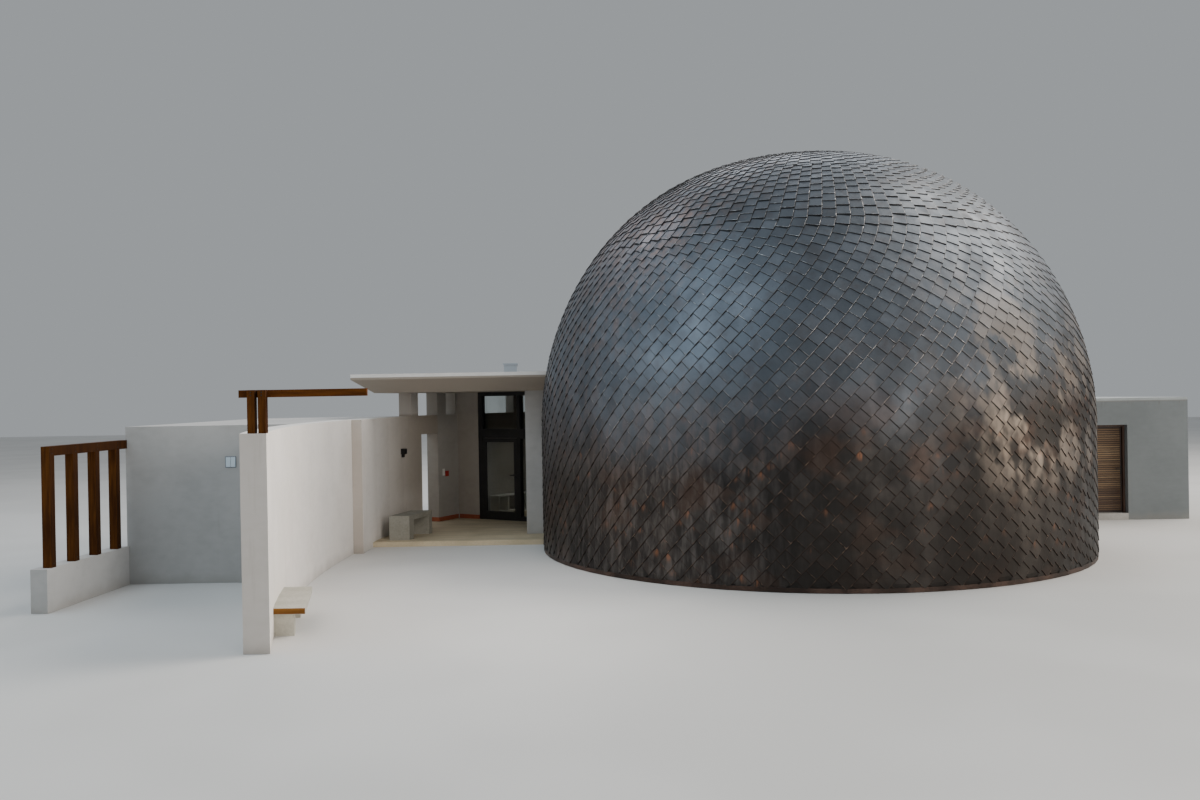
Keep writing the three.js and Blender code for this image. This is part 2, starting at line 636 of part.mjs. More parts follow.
// The stretch of a disc about the near wall's centre that faces the approach
function nearDisc(radius, z0, z1) {
  const centre = new THREE.Vector2(NEAR_WALL.x, NEAR_WALL.y);
  return prism([...nearArc(radius, 150, 210), centre], z0, z1);
}

const NEAR_OUTER = NEAR_WALL.radius + WALL_THICKNESS;

function buildNearWall() {
  const side = (radius) => nearArc(
    radius, nearAngle(radius, NEAR_WALL.end), nearAngle(radius, NEAR_WALL.start));
  addPiece('near_wall', prism([
    ...side(NEAR_OUTER), ...side(NEAR_WALL.radius).reverse()], 0, WALL_HEIGHT), RENDER);
}

function buildPergola() {
  const back = PERGOLA_POST_FRONT + PERGOLA_POST;
  PERGOLA_POST_LEFTS.forEach((left, i) => {
    addPiece(`pergola_post_${i + 1}`, box(
      left, left + PERGOLA_POST, PERGOLA_POST_FRONT, back, WALL_HEIGHT, PERGOLA_TOP), TIMBER);
  });
  const { left, right, depth, height } = PERGOLA_BEAM;
  addPiece('pergola_beam', box(left, right, back, back + depth, PERGOLA_TOP - height, PERGOLA_TOP),
    TIMBER);
}

function buildBlock() {
  const wallTop = WALL_HEIGHT - BLOCK_ROOF_THICKNESS;
  const inner = BLOCK_LEFT + BLOCK_WALL;
  const frontBack = BLOCK_FRONT + BLOCK_WALL;
  const rearFront = BLOCK_REAR - BLOCK_WALL;
  const nearSide = nearDisc(NEAR_OUTER + GAP, -1, WALL_HEIGHT + 1);
  const ringSide = disc(RING_OUTER + GAP, -1, WALL_HEIGHT + 1);

  addPiece('block_front_wall', cut(
    box(BLOCK_LEFT, -8500, BLOCK_FRONT, frontBack, 0, wallTop), nearSide), RENDER);
  addPiece('block_side_wall', box(
    BLOCK_LEFT, inner, frontBack + BLOCK_DOOR_WIDTH, BLOCK_REAR, 0, wallTop), RENDER);
  addPiece('block_rear_wall', cut(
    box(inner, -8000, rearFront, BLOCK_REAR, 0, wallTop), ringSide), RENDER);

  const nearStretch = common(
    nearSide, box(-12000, 0, -9000, NEAR_WALL.end + GAP, -2, WALL_HEIGHT + 2));
  addPiece('block_roof', cut(
    box(BLOCK_LEFT, -8000, BLOCK_FRONT, BLOCK_REAR, wallTop, WALL_HEIGHT), nearStretch, ringSide),
    RENDER);
}

function buildTimberScreen() {
  const group = new THREE.Group();
  group.position.set(BLOCK_LEFT, BLOCK_FRONT, 0);
  group.rotation.z = radians(SCREEN_TURN);
  model.add(group);
  addPiece('screen_plinth', box(PLINTH.left, PLINTH.right, -PLINTH.length, -GAP, 0, PLINTH.top),
    RENDER, group);
  const { left, right, depth, first, pitch, count } = TIMBER_POST;
  const posts = Array.from({ length: count }, (_, i) => box(
    left, right, first + i * pitch, first + i * pitch + depth, PLINTH.top, TIMBER_BEAM_BASE + 1));
  const beam = box(left, right, first, -GAP, TIMBER_BEAM_BASE, TIMBER_BEAM_TOP);
  addPiece('timber_screen', join(beam, ...posts), TIMBER, group);
}

function buildAnnex() {
  const wallTop = ANNEX_TOP - ANNEX_ROOF_THICKNESS;
  const insideFront = ANNEX_FRONT + ANNEX_WALL;
  const insideRear = ANNEX_REAR - ANNEX_WALL;
  const insideLeft = ANNEX_LEFT + ANNEX_WALL;
  const insideRight = ANNEX_RIGHT - ANNEX_WALL;
  const clearOfDome = disc(DOME_RADIUS + FLASHING_THICKNESS + 2 * GAP, -1, wallTop + 1);

  addPiece('annex_front_left', cut(
    box(4000, ANNEX_DOOR_LEFT, ANNEX_FRONT, insideFront, 0, wallTop), clearOfDome), RENDER);
  addPiece('annex_front_right', box(
    ANNEX_DOOR_RIGHT, ANNEX_RIGHT, ANNEX_FRONT, insideFront, 0, wallTop), RENDER);
  addPiece('annex_lintel', box(ANNEX_DOOR_LEFT, ANNEX_DOOR_RIGHT, ANNEX_FRONT, insideFront,
    ANNEX_DOOR_HEAD, wallTop), RENDER);
  addPiece('annex_left_wall', box(ANNEX_LEFT, insideLeft, insideFront, ANNEX_REAR, 0, wallTop), RENDER);
  addPiece('annex_right_wall', box(
    insideRight, ANNEX_RIGHT, insideFront, insideRear, 0, wallTop), RENDER);
  addPiece('annex_rear_wall', box(
    insideLeft, ANNEX_RIGHT, insideRear, ANNEX_REAR, 0, wallTop), RENDER);
  addPiece('annex_roof', cut(
    box(4000, ANNEX_RIGHT, ANNEX_FRONT, ANNEX_REAR, wallTop, ANNEX_TOP),
    box(3900, ANNEX_LEFT, insideFront, ANNEX_REAR + 1, wallTop - 1, ANNEX_TOP + 1),
    disc(DOME_RADIUS + FLASHING_THICKNESS + 2 * GAP, 0, ANNEX_TOP + 1)), RENDER);
  addPiece('annex_floor', join(
    box(insideLeft, insideRight, insideFront, insideRear, 0, ANNEX_FLOOR),
    box(ANNEX_DOOR_LEFT, ANNEX_DOOR_RIGHT, ANNEX_FRONT, insideFront + 1, 0, ANNEX_FLOOR)), CONCRETE);

  const frameLeft = ANNEX_DOOR_LEFT + ANNEX_FRAME_WIDTH;
  const frameRight = ANNEX_DOOR_RIGHT - ANNEX_FRAME_WIDTH;
  const frameHead = ANNEX_DOOR_HEAD - ANNEX_FRAME_WIDTH;
  const frameBack = ANNEX_FRAME_FRONT + ANNEX_FRAME_DEPTH;
  const left = frameLeft + DOOR_GAP;
  const right = frameRight - DOOR_GAP;
  const base = ANNEX_FLOOR + DOOR_GAP;
  const top = frameHead - DOOR_GAP;
  const { fixed, moving } = hinges(frameLeft + DOOR_GAP / 2, frameBack, 1, base, top);
  const frame = uprightPanel([
    [ANNEX_DOOR_LEFT, ANNEX_FLOOR], [frameLeft, ANNEX_FLOOR], [frameLeft, frameHead],
    [frameRight, frameHead], [frameRight, ANNEX_FLOOR], [ANNEX_DOOR_RIGHT, ANNEX_FLOOR],
    [ANNEX_DOOR_RIGHT, ANNEX_DOOR_HEAD], [ANNEX_DOOR_LEFT, ANNEX_DOOR_HEAD],
  ].map(([x, z]) => new THREE.Vector2(x, z)), ANNEX_FRAME_FRONT, frameBack);
  addPiece('annex_door_frame', join(frame, ...fixed), TIMBER);

  const face = frameBack - LEAF_THICKNESS;
  const leaf = cut(
    box(left, right, face, frameBack, base, top),
    box(left + PANEL_BORDER, right - PANEL_BORDER, face - 1, face + PANEL_RECESS,
      base + PANEL_BORDER, top - PANEL_BORDER));
  addPiece('annex_door', join(
    leaf, ...moving, lever(right - PANEL_BORDER / 2, face, -1, -1, ANNEX_LEVER_HEIGHT)), REED);
}

buildDome();
buildHallWalls();
buildHallFloor();
buildHallRoof();
buildScreen();
buildShoeBench();
buildLamp();
buildBench('long_bench', LONG_BENCH);
buildBench('low_bench', LOW_BENCH, nearDisc(NEAR_WALL.radius - GAP, -1, WALL_HEIGHT));
buildNearWall();
buildPergola();
buildBlock();
buildTimberScreen();
buildAnnex();

export default model;
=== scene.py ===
"""A domed hall with its porch, lobby, approach wall, service block and annex, dressed in full."""

import logging
import math
import random
from dataclasses import dataclass, field
from enum import Enum
from typing import Sequence

import bmesh
import bpy
import numpy as np
from mathutils import Matrix, Vector


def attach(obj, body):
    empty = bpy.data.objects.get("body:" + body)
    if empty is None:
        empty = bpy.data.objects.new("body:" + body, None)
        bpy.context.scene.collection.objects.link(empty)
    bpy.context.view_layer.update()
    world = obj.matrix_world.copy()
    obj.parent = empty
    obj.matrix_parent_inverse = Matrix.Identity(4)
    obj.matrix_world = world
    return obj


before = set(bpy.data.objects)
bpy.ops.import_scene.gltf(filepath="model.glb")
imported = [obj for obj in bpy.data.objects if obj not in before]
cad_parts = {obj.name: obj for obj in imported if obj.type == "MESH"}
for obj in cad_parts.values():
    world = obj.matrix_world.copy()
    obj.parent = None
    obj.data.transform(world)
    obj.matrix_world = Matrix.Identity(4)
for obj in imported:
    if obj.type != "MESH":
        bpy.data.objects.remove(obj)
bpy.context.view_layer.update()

LOG = logging.getLogger("domed_hall")
Colour = tuple[float, float, float]
Point = tuple[float, float, float]
FACET = 5.0  # degrees a facet of the round walls and roofs


class Body(Enum):
    """The rigid bodies that pieces ride on."""

    BUILDING = "building"
    ENTRANCE = "entrance_leaf"
    ANNEX = "annex_leaf"


class Slot(Enum):
    """The record's material slots."""

    COPPER = "aged_copper"
    RENDER = "white_render"
    CONCRETE = "concrete"
    BOARD = "white_board"
    BLACK = "black_metal"
    GLASS = "clear_glass"
    TIMBER = "dark_timber"
    REED = "reed_panel"


class Grain(Enum):
    """The direction in which a timber's grain runs."""

    X = (0.6, 9.0, 9.0)
    Z = (9.0, 9.0, 0.6)


# Shader maths


class Term:
    """A number on a shader socket, with the arithmetic that adds Math nodes."""

    def __init__(self, graph: "Graph", socket: bpy.types.NodeSocket) -> None:
        """Wrap one output socket.

        Args:
            graph: The node tree's helper.
            socket: The output that carries the number.
        """
        self.graph = graph
        self.socket = socket

    def _math(self, operation: str, first: "Term | float", second: "Term | float") -> "Term":
        """One Math node.

        Args:
            operation: Its operation.
            first: The first operand.
            second: The second operand.

        Returns:
            The node's value.
        """
        node = self.graph.node("ShaderNodeMath", {"operation": operation}, {0: first, 1: second})
        return Term(self.graph, node.outputs[0])

    def __add__(self, other: "Term | float") -> "Term":
        """The sum."""
        return self._math("ADD", self, other)

    __radd__ = __add__

    def __sub__(self, other: "Term | float") -> "Term":
        """The difference."""
        return self._math("SUBTRACT", self, other)

    def __rsub__(self, other: "Term | float") -> "Term":
        """The difference, from a plain number."""
        return self._math("SUBTRACT", other, self)

    def __mul__(self, other: "Term | float") -> "Term":
        """The product."""
        return self._math("MULTIPLY", self, other)

    __rmul__ = __mul__

    def larger(self, other: "Term | float") -> "Term":
        """The larger of two numbers."""
        return self._math("MAXIMUM", self, other)

    def ramp(self, start: float, end: float) -> "Term":
        """A smooth step.

        Args:
            start: Where the step begins, at 0.
            end: Where the step ends, at 1.

        Returns:
            A number from 0 to 1.
        """
        node = self.graph.node(
            "ShaderNodeMapRange", {"interpolation_type": "SMOOTHSTEP"},
            {0: self, 1: start, 2: end, 3: 0.0, 4: 1.0})
        return Term(self.graph, node.outputs[0])


class Graph:
    """The node tree of one material."""

    def __init__(self, name: str) -> None:
        """Start an empty tree.

        Args:
            name: The material's name.
        """
        self.material = bpy.data.materials.new(name)
        self.material.use_nodes = True
        self.tree = self.material.node_tree
        self.tree.nodes.clear()
        self._place: bpy.types.NodeSocket | None = None

    def node(self, kind: str, settings: dict | None = None,
             sockets: dict | None = None) -> bpy.types.Node:
        """Add one node.

        Args:
            kind: The node's type.
            settings: Its properties, such as a Math node's operation, set first.
            sockets: Values or links of its inputs, by name or number.

        Returns:
            The node.
        """
        made = self.tree.nodes.new(kind)
        for key, value in (settings or {}).items():
            setattr(made, key, value)
        for key, value in (sockets or {}).items():
            if isinstance(value, Term):
                value = value.socket
            if isinstance(value, bpy.types.NodeSocket):
                self.tree.links.new(value, made.inputs[key])
            else:
                made.inputs[key].default_value = value
        return made

    @property
    def place(self) -> bpy.types.NodeSocket:
        """The point on the object, in metres.

        Returns:
            The socket of the object's coordinates.
        """
        if self._place is None:
            self._place = self.node("ShaderNodeTexCoord").outputs["Object"]
        return self._place

    def scaled(self, factors: Sequence[float],
               source: bpy.types.NodeSocket | None = None) -> bpy.types.NodeSocket:
        """Coordinates stretched along the axes.

        Args:
            factors: One factor an axis.
            source: The coordinates, or None for the point on the object.

        Returns:
            The stretched coordinates.
        """
        made = self.node("ShaderNodeVectorMath", {"operation": "MULTIPLY"},
                         {0: source or self.place, 1: tuple(factors)})
        return made.outputs[0]

    def axis(self, name: str, source: bpy.types.NodeSocket | None = None) -> Term:
        """One coordinate of a vector.

        Args:
            name: X, Y or Z.
            source: The vector, or None for the point on the object.

        Returns:
            The coordinate.
        """
        made = self.node("ShaderNodeSeparateXYZ", None, {0: source or self.place})
        return Term(self, made.outputs[name])

    def noise(self, scale: float, detail: float = 3.0, roughness: float = 0.55,
              source: bpy.types.NodeSocket | None = None) -> Term:
        """Smooth noise about 0.5.

        Args:
            scale: Features a metre.
            detail: Octaves.
            roughness: The weight of the fine octaves.
            source: The coordinates, or None for the point on the object.

        Returns:
            The noise.
        """
        made = self.node("ShaderNodeTexNoise", None, {
            "Vector": source or self.place, "Scale": scale, "Detail": detail,
            "Roughness": roughness})
        return Term(self, made.outputs[0])

    def attribute(self, name: str) -> Term:
        """A number stored on the mesh."""
        made = self.node("ShaderNodeAttribute", {"attribute_name": name})
        return Term(self, made.outputs["Fac"])

    def colour(self, first: Colour | bpy.types.NodeSocket, second: Colour | bpy.types.NodeSocket,
               factor: Term | float, blend: str = "MIX") -> bpy.types.NodeSocket:
        """A mix of two colours.

        Args:
            first: The colour at 0.
            second: The colour at 1.
            factor: The share of the second.
            blend: The way of mixing.

        Returns:
            The colour's socket.
        """
        def full(value: Colour | bpy.types.NodeSocket) -> object:
            """A colour with its alpha, or the socket as it is."""
            return value if isinstance(value, bpy.types.NodeSocket) else (*value, 1.0)

        made = self.node("ShaderNodeMix", {"data_type": "RGBA", "blend_type": blend},
                         {0: factor, 6: full(first), 7: full(second)})
        return made.outputs[2]

    def relief(self, height: Term, depth: float, strength: float = 1.0) -> bpy.types.NodeSocket:
        """A bumped normal.

        Args:
            height: The relief, from 0 to 1.
            depth: Its depth in metres.
            strength: How much of it shows.

        Returns:
            The normal's socket.
        """
        made = self.node("ShaderNodeBump", None, {
            "Strength": strength, "Distance": depth, "Height": height})
        return made.outputs["Normal"]

    def surface(self, **sockets: object) -> bpy.types.Material:
        """Finish with a Principled surface.

        Args:
            sockets: Its inputs, with _ for a space.

        Returns:
            The finished material.
        """
        named = {}
        for key, value in sockets.items():
            if isinstance(value, tuple) and len(value) == 3:
                value = (*value, 1.0)
            named[key.replace("_", " ")] = value
        shader = self.node("ShaderNodeBsdfPrincipled", None, named)
        self.node("ShaderNodeOutputMaterial", None, {"Surface": shader.outputs[0]})
        return self.material


# Finishes


@dataclass(frozen=True)
class CopperShingle:
    """Aged copper: slate-blue high up, brown and coppery lower down; the slate and the dark brown
    are partly patina and partly painted reflection of the sky and of the dark ground.
    """

    name: str = "aged_copper_shingle"
    # The next four colours: the slate ones are partly patina and partly painted sky reflection,
    # the brown ones partly patina and partly painted reflection of the dark ground.
    slate: Colour = (0.111, 0.128, 0.151)
    slate_light: Colour = (0.168, 0.191, 0.224)
    brown: Colour = (0.027, 0.025, 0.024)
    warm: Colour = (0.069, 0.062, 0.058)
    copper: Colour = (0.300, 0.125, 0.062)
    # Painted reflection colours: pinkish and grey streaks on the lower left, and a pinkish tint
    # along the upper left.
    pink_reflection: Colour = (0.225, 0.164, 0.146)
    grey_reflection: Colour = (0.190, 0.172, 0.166)
    # Painted reflection of warm, sunlit patches on the right.
    sun_reflection: Colour = (0.375, 0.318, 0.270)
    rust: Colour = (0.082, 0.044, 0.029)
    umber: Colour = (0.100, 0.086, 0.084)
    # Painted shade: near black, for the seam lines below the rims and for the returns under them.
    edge: Colour = (0.009, 0.008, 0.008)
    # Painted reflection of the dark ground, low down.
    dark_ground_reflection: Colour = (0.020, 0.017, 0.015)
    specks: Colour = (0.018, 0.015, 0.014)
    # Rim colours, lighter than the faces: partly rubbed wear, partly painted highlight where the
    # rims catch the light.
    rim_wear_and_highlight: tuple[Colour, Colour] = ((0.062, 0.042, 0.034), (0.30, 0.21, 0.16))
    slate_rim_wear_and_highlight: tuple[Colour, Colour] = ((0.150, 0.151, 0.157), (0.58, 0.58, 0.59))
    # Painted shade on the returns, a browner dark.
    under_rim: Colour = (0.034, 0.018, 0.013)

    @staticmethod
    def height_share(graph: Graph) -> Term:
        """How much of the high, slate colour there is: 0 near the ground, 1 near the crown; partly
        patina, partly painted sky reflection.
        """
        z = graph.axis("Z") - graph.axis("X") * 0.16 + graph.noise(0.55, 2.0) * 2.4
        return z.ramp(3.0, 5.4)

    def build(self) -> bpy.types.Material:
        """The tile's face.

        Returns:
            The material of the visible faces.
        """
        graph = Graph(self.name)
        tone, spot = graph.attribute("tone"), graph.attribute("spot")
        tile = graph.node("ShaderNodeUVMap", {"uv_map": "tile"}).outputs[0]
        u, v = graph.axis("X", tile), graph.axis("Y", tile)
        x, z = graph.axis("X"), graph.axis("Z")
        patch = graph.noise(1.5, 3.0)
        cloud = graph.noise(4.2, 3.0)
        high = self.height_share(graph)
        mottle = (tone * 0.26 + patch * 0.9 + cloud * 0.4).ramp(0.66, 1.14)
        body = graph.colour(self.brown, self.warm, mottle)
        rusty = graph.noise(1.25, 3.0, 0.5, graph.scaled((1.0, 1.0, 1.3)))
        rusty = (rusty + tone * 0.10).ramp(0.58, 0.72)
        body = graph.colour(body, self.rust, rusty * 0.36)
        pale = (tone * 0.22 + patch * 0.8).ramp(0.32, 0.78)
        slate = graph.colour(self.slate, self.slate_light, pale)
        slate = graph.colour(slate, self.umber, (cloud + spot * 0.12).ramp(0.56, 0.76) * 0.30)
        # Slate high up over dark brown low down: partly patina, partly painted reflection of the
        # sky and of the dark ground.
        base = graph.colour(body, slate, high)
        aslant = (u - v).larger(v - u)
        flame = (u + v).ramp(0.75, 1.65) * aslant.ramp(0.58, 0.10)
        wisps = graph.noise(1.0, 3.0, 0.6, graph.scaled((26.0, 26.0, 5.0))).ramp(0.38, 0.62)
        sides = (0.2 - x).ramp(0.0, 1.6) * 0.09 + (x - 1.6).ramp(0.0, 1.6) * 0.08
        cluster = (patch + spot * 0.30 + sides).ramp(0.80, 0.96)
        base = graph.colour(base, self.copper, flame * wisps * cluster * (1 - high) * 0.66)
        # Painted reflection: pale pinkish-grey streaks on the lower left.
        left = (0 - x).ramp(0.2, 2.6) * z.ramp(3.6, 2.4)
        reflected_streaks = graph.noise(1.0, 4.0, 0.62, graph.scaled((8.0, 8.0, 1.7))).ramp(0.40, 0.72)
        left_reflection = graph.colour(self.grey_reflection, self.pink_reflection, z.ramp(1.5, 2.5))
        base = graph.colour(base, left_reflection, left * reflected_streaks * (1 - high * 0.35) * 0.40)
        blotch = graph.noise(1.0, 3.5, 0.62, graph.scaled((1.5, 1.5, 0.85)))
        # Painted reflection: warm, blotchy patches of sunlight on the right side.
        sunny = (x + z * 0.35).ramp(1.7, 3.2) * z.ramp(1.0, 2.1) * z.ramp(5.4, 3.6)
        sunny = sunny * graph.axis("Y").ramp(1.6, -0.4)
        sunlit = (blotch + tone * 0.07 + x.ramp(3.9, 5.0) * 0.05).ramp(0.48, 0.63)
        base = graph.colour(base, self.sun_reflection, sunny * sunlit * 0.46)
        # Painted reflection: a pinkish tint along the upper left.
        crest = (z * 0.9 - x).ramp(6.4, 8.0) * (cloud * 0.6 + reflected_streaks * 0.4).ramp(0.3, 0.7)
        base = graph.colour(base, self.pink_reflection, crest * 0.6)
        # Painted reflection of the dark ground: darker low down, except on the left.
        base = graph.colour(base, self.dark_ground_reflection, z.ramp(2.3, 0.3) * x.ramp(-2.6, -0.4) * 0.66)
        fine = graph.noise(38.0, 4.0, 0.6)
        base = graph.colour(base, self.specks, fine.ramp(0.52, 0.85) * 0.32)
        shadow = u.larger(v).ramp(0.93, 0.99)
        base = graph.colour(base, self.edge, shadow * 0.75)
        smear = graph.noise(1.0, 3.0, 0.6, graph.scaled((9.0, 9.0, 2.2)))
        rough = 0.31 + tone * 0.08 + smear * 0.14 + blotch.ramp(0.60, 0.42) * 0.14 + shadow * 0.2
        dents = graph.noise(6.0, 2.0)
        return graph.surface(
            Base_Color=base, Metallic=0.85, Roughness=rough,
            Normal=graph.relief(dents * 0.85 + fine * 0.15, 0.014, 0.32))

    def build_rim(self) -> bpy.types.Material:
        """The tile's lower rim, a little brighter than its face: partly rubbed wear, partly a
        painted highlight where it catches the light.

        Returns:
            The material of the rim.
        """
        graph = Graph(self.name + "_rim")
        wear_and_glint = graph.noise(11.0, 3.0)
        # Painted highlight and wear: the rim is lighter than the face.
        low = graph.colour(*self.rim_wear_and_highlight, wear_and_glint.ramp(0.5, 0.74))
        cool = graph.colour(*self.slate_rim_wear_and_highlight, wear_and_glint.ramp(0.48, 0.70))
        return graph.surface(
            Base_Color=graph.colour(low, cool, self.height_share(graph)), Metallic=0.9,
            Roughness=0.36 + wear_and_glint * 0.16)

    def build_edge(self) -> bpy.types.Material:
        """The dark return under the rim, painted near black as shade in the gap, varied by noise.

        Returns:
            The material of the return.
        """
        graph = Graph(self.name + "_return")
        # Painted shade: near black, varied by noise with a browner dark.
        grime = graph.noise(9.0, 3.0)
        return graph.surface(
            Base_Color=graph.colour(self.edge, self.under_rim, grime.ramp(0.5, 0.8)),
            Metallic=0.1, Roughness=0.7 + grime * 0.2)


@dataclass(frozen=True)
class SheetCopper:
    """Plain dark copper sheet for flashings, the cap and what lies under the shingles."""

    name: str
    dark: Colour
    light: Colour
    metallic: float = 0.75

    def build(self) -> bpy.types.Material:
        """The sheet.

        Returns:
            The material of the plain sheet.
        """
        graph = Graph(self.name)
        cloud = graph.noise(2.3, 4.0)
        fine = graph.noise(30.0, 3.0)
        base = graph.colour(self.dark, self.light, (cloud * 0.8 + fine * 0.2).ramp(0.36, 0.66))
        return graph.surface(
            Base_Color=base, Metallic=self.metallic, Roughness=0.36 + fine * 0.25,
            Normal=graph.relief(cloud, 0.006, 0.3))


@dataclass(frozen=True)
class Render:
    """Smooth mineral render with faint trowel marks, stains and a dusty foot, and painted shade
    where a copy asks for it: on faces that look to the front, on undersides and under the porch
    roof.
    """

    name: str
    pale: Colour
    shade: Colour
    grime: Colour = (0.36, 0.33, 0.29)
    foot: float = 0.0
    # Painted shade on downward faces and below a height.
    under: Colour | None = None
    band: float = -10.0
    drip: float | None = None
    # Painted shade of the porch roof, along Y.
    porch_shade_span: tuple[float, float] | None = None
    # Painted shade on faces that look to the front.
    front_shade: Colour = (0.79, 0.81, 0.82)
    porch_shade: Colour = (0.50, 0.46, 0.41)
    drip_stain: Colour = (0.085, 0.072, 0.060)

    def build(self) -> bpy.types.Material:
        """The rendered face.

        Returns:
            The material of the render, with its stains.
        """
        graph = Graph(self.name)
        cloud = graph.noise(0.9, 3.0)
        trowel = graph.noise(5.5, 3.0, 0.55, graph.scaled((1.0, 1.0, 1.8)))
        sand = graph.noise(160.0, 2.0)
        base = graph.colour(self.shade, self.pale, (cloud * 0.7 + trowel * 0.3).ramp(0.30, 0.62))
        z = graph.axis("Z")
        wash = graph.noise(1.0, 4.0, 0.6, graph.scaled((7.0, 7.0, 0.55)))
        foot = (z - self.foot + graph.noise(3.0, 3.0) * 0.25).ramp(0.36, 0.09)
        base = graph.colour(base, self.grime, foot * 0.38)
        base = graph.colour(base, self.grime, wash.ramp(0.60, 0.78) * 0.20)
        normal = graph.node("ShaderNodeNewGeometry").outputs["Normal"]
        # Painted shade: faces that look to the front (-Y) are darker.
        front = graph.axis("Y", normal).ramp(-0.55, -0.92)
        base = graph.colour(base, self.front_shade, front, "MULTIPLY")
        # Painted shade: downward faces and everything below the band height take the darker
        # colour.
        if self.under is not None:
            down = graph.axis("Z", normal).ramp(-0.15, -0.55)
            down = down.larger(z.ramp(self.band, self.band - 0.006))
            base = graph.colour(base, self.under, down)
        # Painted shade of the porch roof: darker further back towards the passage, most between
        # 1.2 m and 2.62 m high.
        if self.porch_shade_span is not None:
            inward = graph.axis("Y").ramp(*self.porch_shade_span) * z.ramp(0.0, 1.2).larger(0.75)
            inward = inward * z.ramp(2.75, 2.62).larger(0.35)
            base = graph.colour(base, self.porch_shade, inward, "MULTIPLY")
        if self.drip is not None:
            top = self.drip
            runs = graph.noise(1.0, 5.0, 0.7, graph.scaled((7.0, 7.0, 0.5))).ramp(0.50, 0.74)
            line = z.ramp(top - 0.040, top - 0.010) * 0.55
            stain = (z.ramp(top - 0.20, top) * runs * 0.62).larger(line) * z.ramp(top + 0.002, top)
            base = graph.colour(base, self.drip_stain, stain)
        return graph.surface(
            Base_Color=base, Roughness=0.86 - trowel * 0.12, Specular_IOR_Level=0.3,
            Normal=graph.relief(trowel * 0.6 + sand * 0.4, 0.004, 0.55))


@dataclass(frozen=True)
class Concrete:
    """Cast or floated concrete with pores and soft blotches."""

    name: str
    pale: Colour
    dark: Colour
    boards: bool = False
    pore_shade: Colour = (0.16, 0.15, 0.13)
    joint_shade: Colour = (0.2, 0.17, 0.13)

    def build(self) -> bpy.types.Material:
        """The concrete face.

        Returns:
            The material of the concrete.
        """
        graph = Graph(self.name)
        cloud = graph.noise(1.7, 4.0)
        fine = graph.noise(26.0, 4.0, 0.62)
        pores = graph.node("ShaderNodeTexVoronoi", {"feature": "F1"},
                           {"Vector": graph.place, "Scale": 34.0})
        pore = Term(graph, pores.outputs["Distance"]).ramp(0.16, 0.05)
        base = graph.colour(self.dark, self.pale, (cloud * 0.65 + fine * 0.35).ramp(0.34, 0.64))
        base = graph.colour(base, self.pore_shade, pore * 0.45)
        height = fine * 0.5 + cloud * 0.3 - pore * 0.5
        if self.boards:
            wave = graph.node("ShaderNodeTexWave", {"wave_type": "BANDS", "bands_direction": "Y"},
                              {"Vector": graph.place, "Scale": 0.5, "Distortion": 0.25})
            line = Term(graph, wave.outputs["Fac"]).ramp(0.05, 0.0)
            base = graph.colour(base, self.joint_shade, line * 0.3)
        return graph.surface(
            Base_Color=base, Roughness=0.72 + fine * 0.2, Specular_IOR_Level=0.35,
            Normal=graph.relief(height, 0.004, 0.5))


@dataclass(frozen=True)
class Timber:
    """Stained timber with grain along one axis."""

    name: str
    dark: Colour
    light: Colour
    grain: Grain
    gloss: float = 0.48
    sheen: float = 0.5
    # How much painted shade the faces that look along +X get.
    side: float = 0.0
    fibre_shade: Colour = (0.012, 0.006, 0.004)
    side_shade: Colour = (0.010, 0.004, 0.002)

    def build(self) -> bpy.types.Material:
        """The timber's face.

        Returns:
            The material of the stained timber.
        """
        graph = Graph(self.name)
        stretched = graph.scaled(self.grain.value)
        rings = graph.noise(3.2, 5.0, 0.62, stretched)
        fibre = graph.noise(26.0, 3.0, 0.6, stretched)
        age = graph.noise(1.1, 2.0)
        base = graph.colour(self.dark, self.light, (rings * 0.75 + age * 0.35).ramp(0.36, 0.76))
        base = graph.colour(base, self.fibre_shade, fibre.ramp(0.58, 0.8) * 0.5)
        # Painted shade: faces that look along +X are darker.
        if self.side > 0:
            normal = graph.node("ShaderNodeNewGeometry").outputs["Normal"]
            facing = graph.axis("X", normal).ramp(0.5, 0.9)
            base = graph.colour(base, self.side_shade, facing * self.side)
        return graph.surface(
            Base_Color=base, Roughness=self.gloss + fibre * 0.2, Specular_IOR_Level=self.sheen,
            Normal=graph.relief(rings * 0.4 + fibre * 0.6, 0.003, 0.5))


@dataclass(frozen=True)
class Reed:
    """Cane reeds, golden brown above and redder and damper towards the foot."""

    name: str = "door_reed"
    gold: Colour = (0.130, 0.074, 0.034)
    straw: Colour = (0.240, 0.155, 0.078)
    damp: Colour = (0.060, 0.026, 0.013)
    knot: Colour = (0.040, 0.018, 0.009)

    def build(self) -> bpy.types.Material:
        """The reed's skin.

        Returns:
            The material of the reeds.
        """
        graph = Graph(self.name)
        tone = graph.attribute("tone")
        along = graph.noise(2.6, 3.0, 0.6, graph.scaled((1.0, 1.0, 6.0)))
        fibre = graph.noise(1.0, 3.0, 0.6, graph.scaled((30.0, 120.0, 240.0)))
        base = graph.colour(self.gold, self.straw, (tone * 0.55 + along * 0.6).ramp(0.35, 0.85))
        low = (graph.axis("Z") + tone * 0.35 + along * 0.3).ramp(1.35, 0.45)
        base = graph.colour(base, self.damp, low * 0.85)
        base = graph.colour(base, self.knot, fibre.ramp(0.52, 0.75) * 0.5)
        return graph.surface(
            Base_Color=base, Roughness=0.42 + fibre * 0.25,
            Normal=graph.relief(fibre, 0.0015, 0.5))


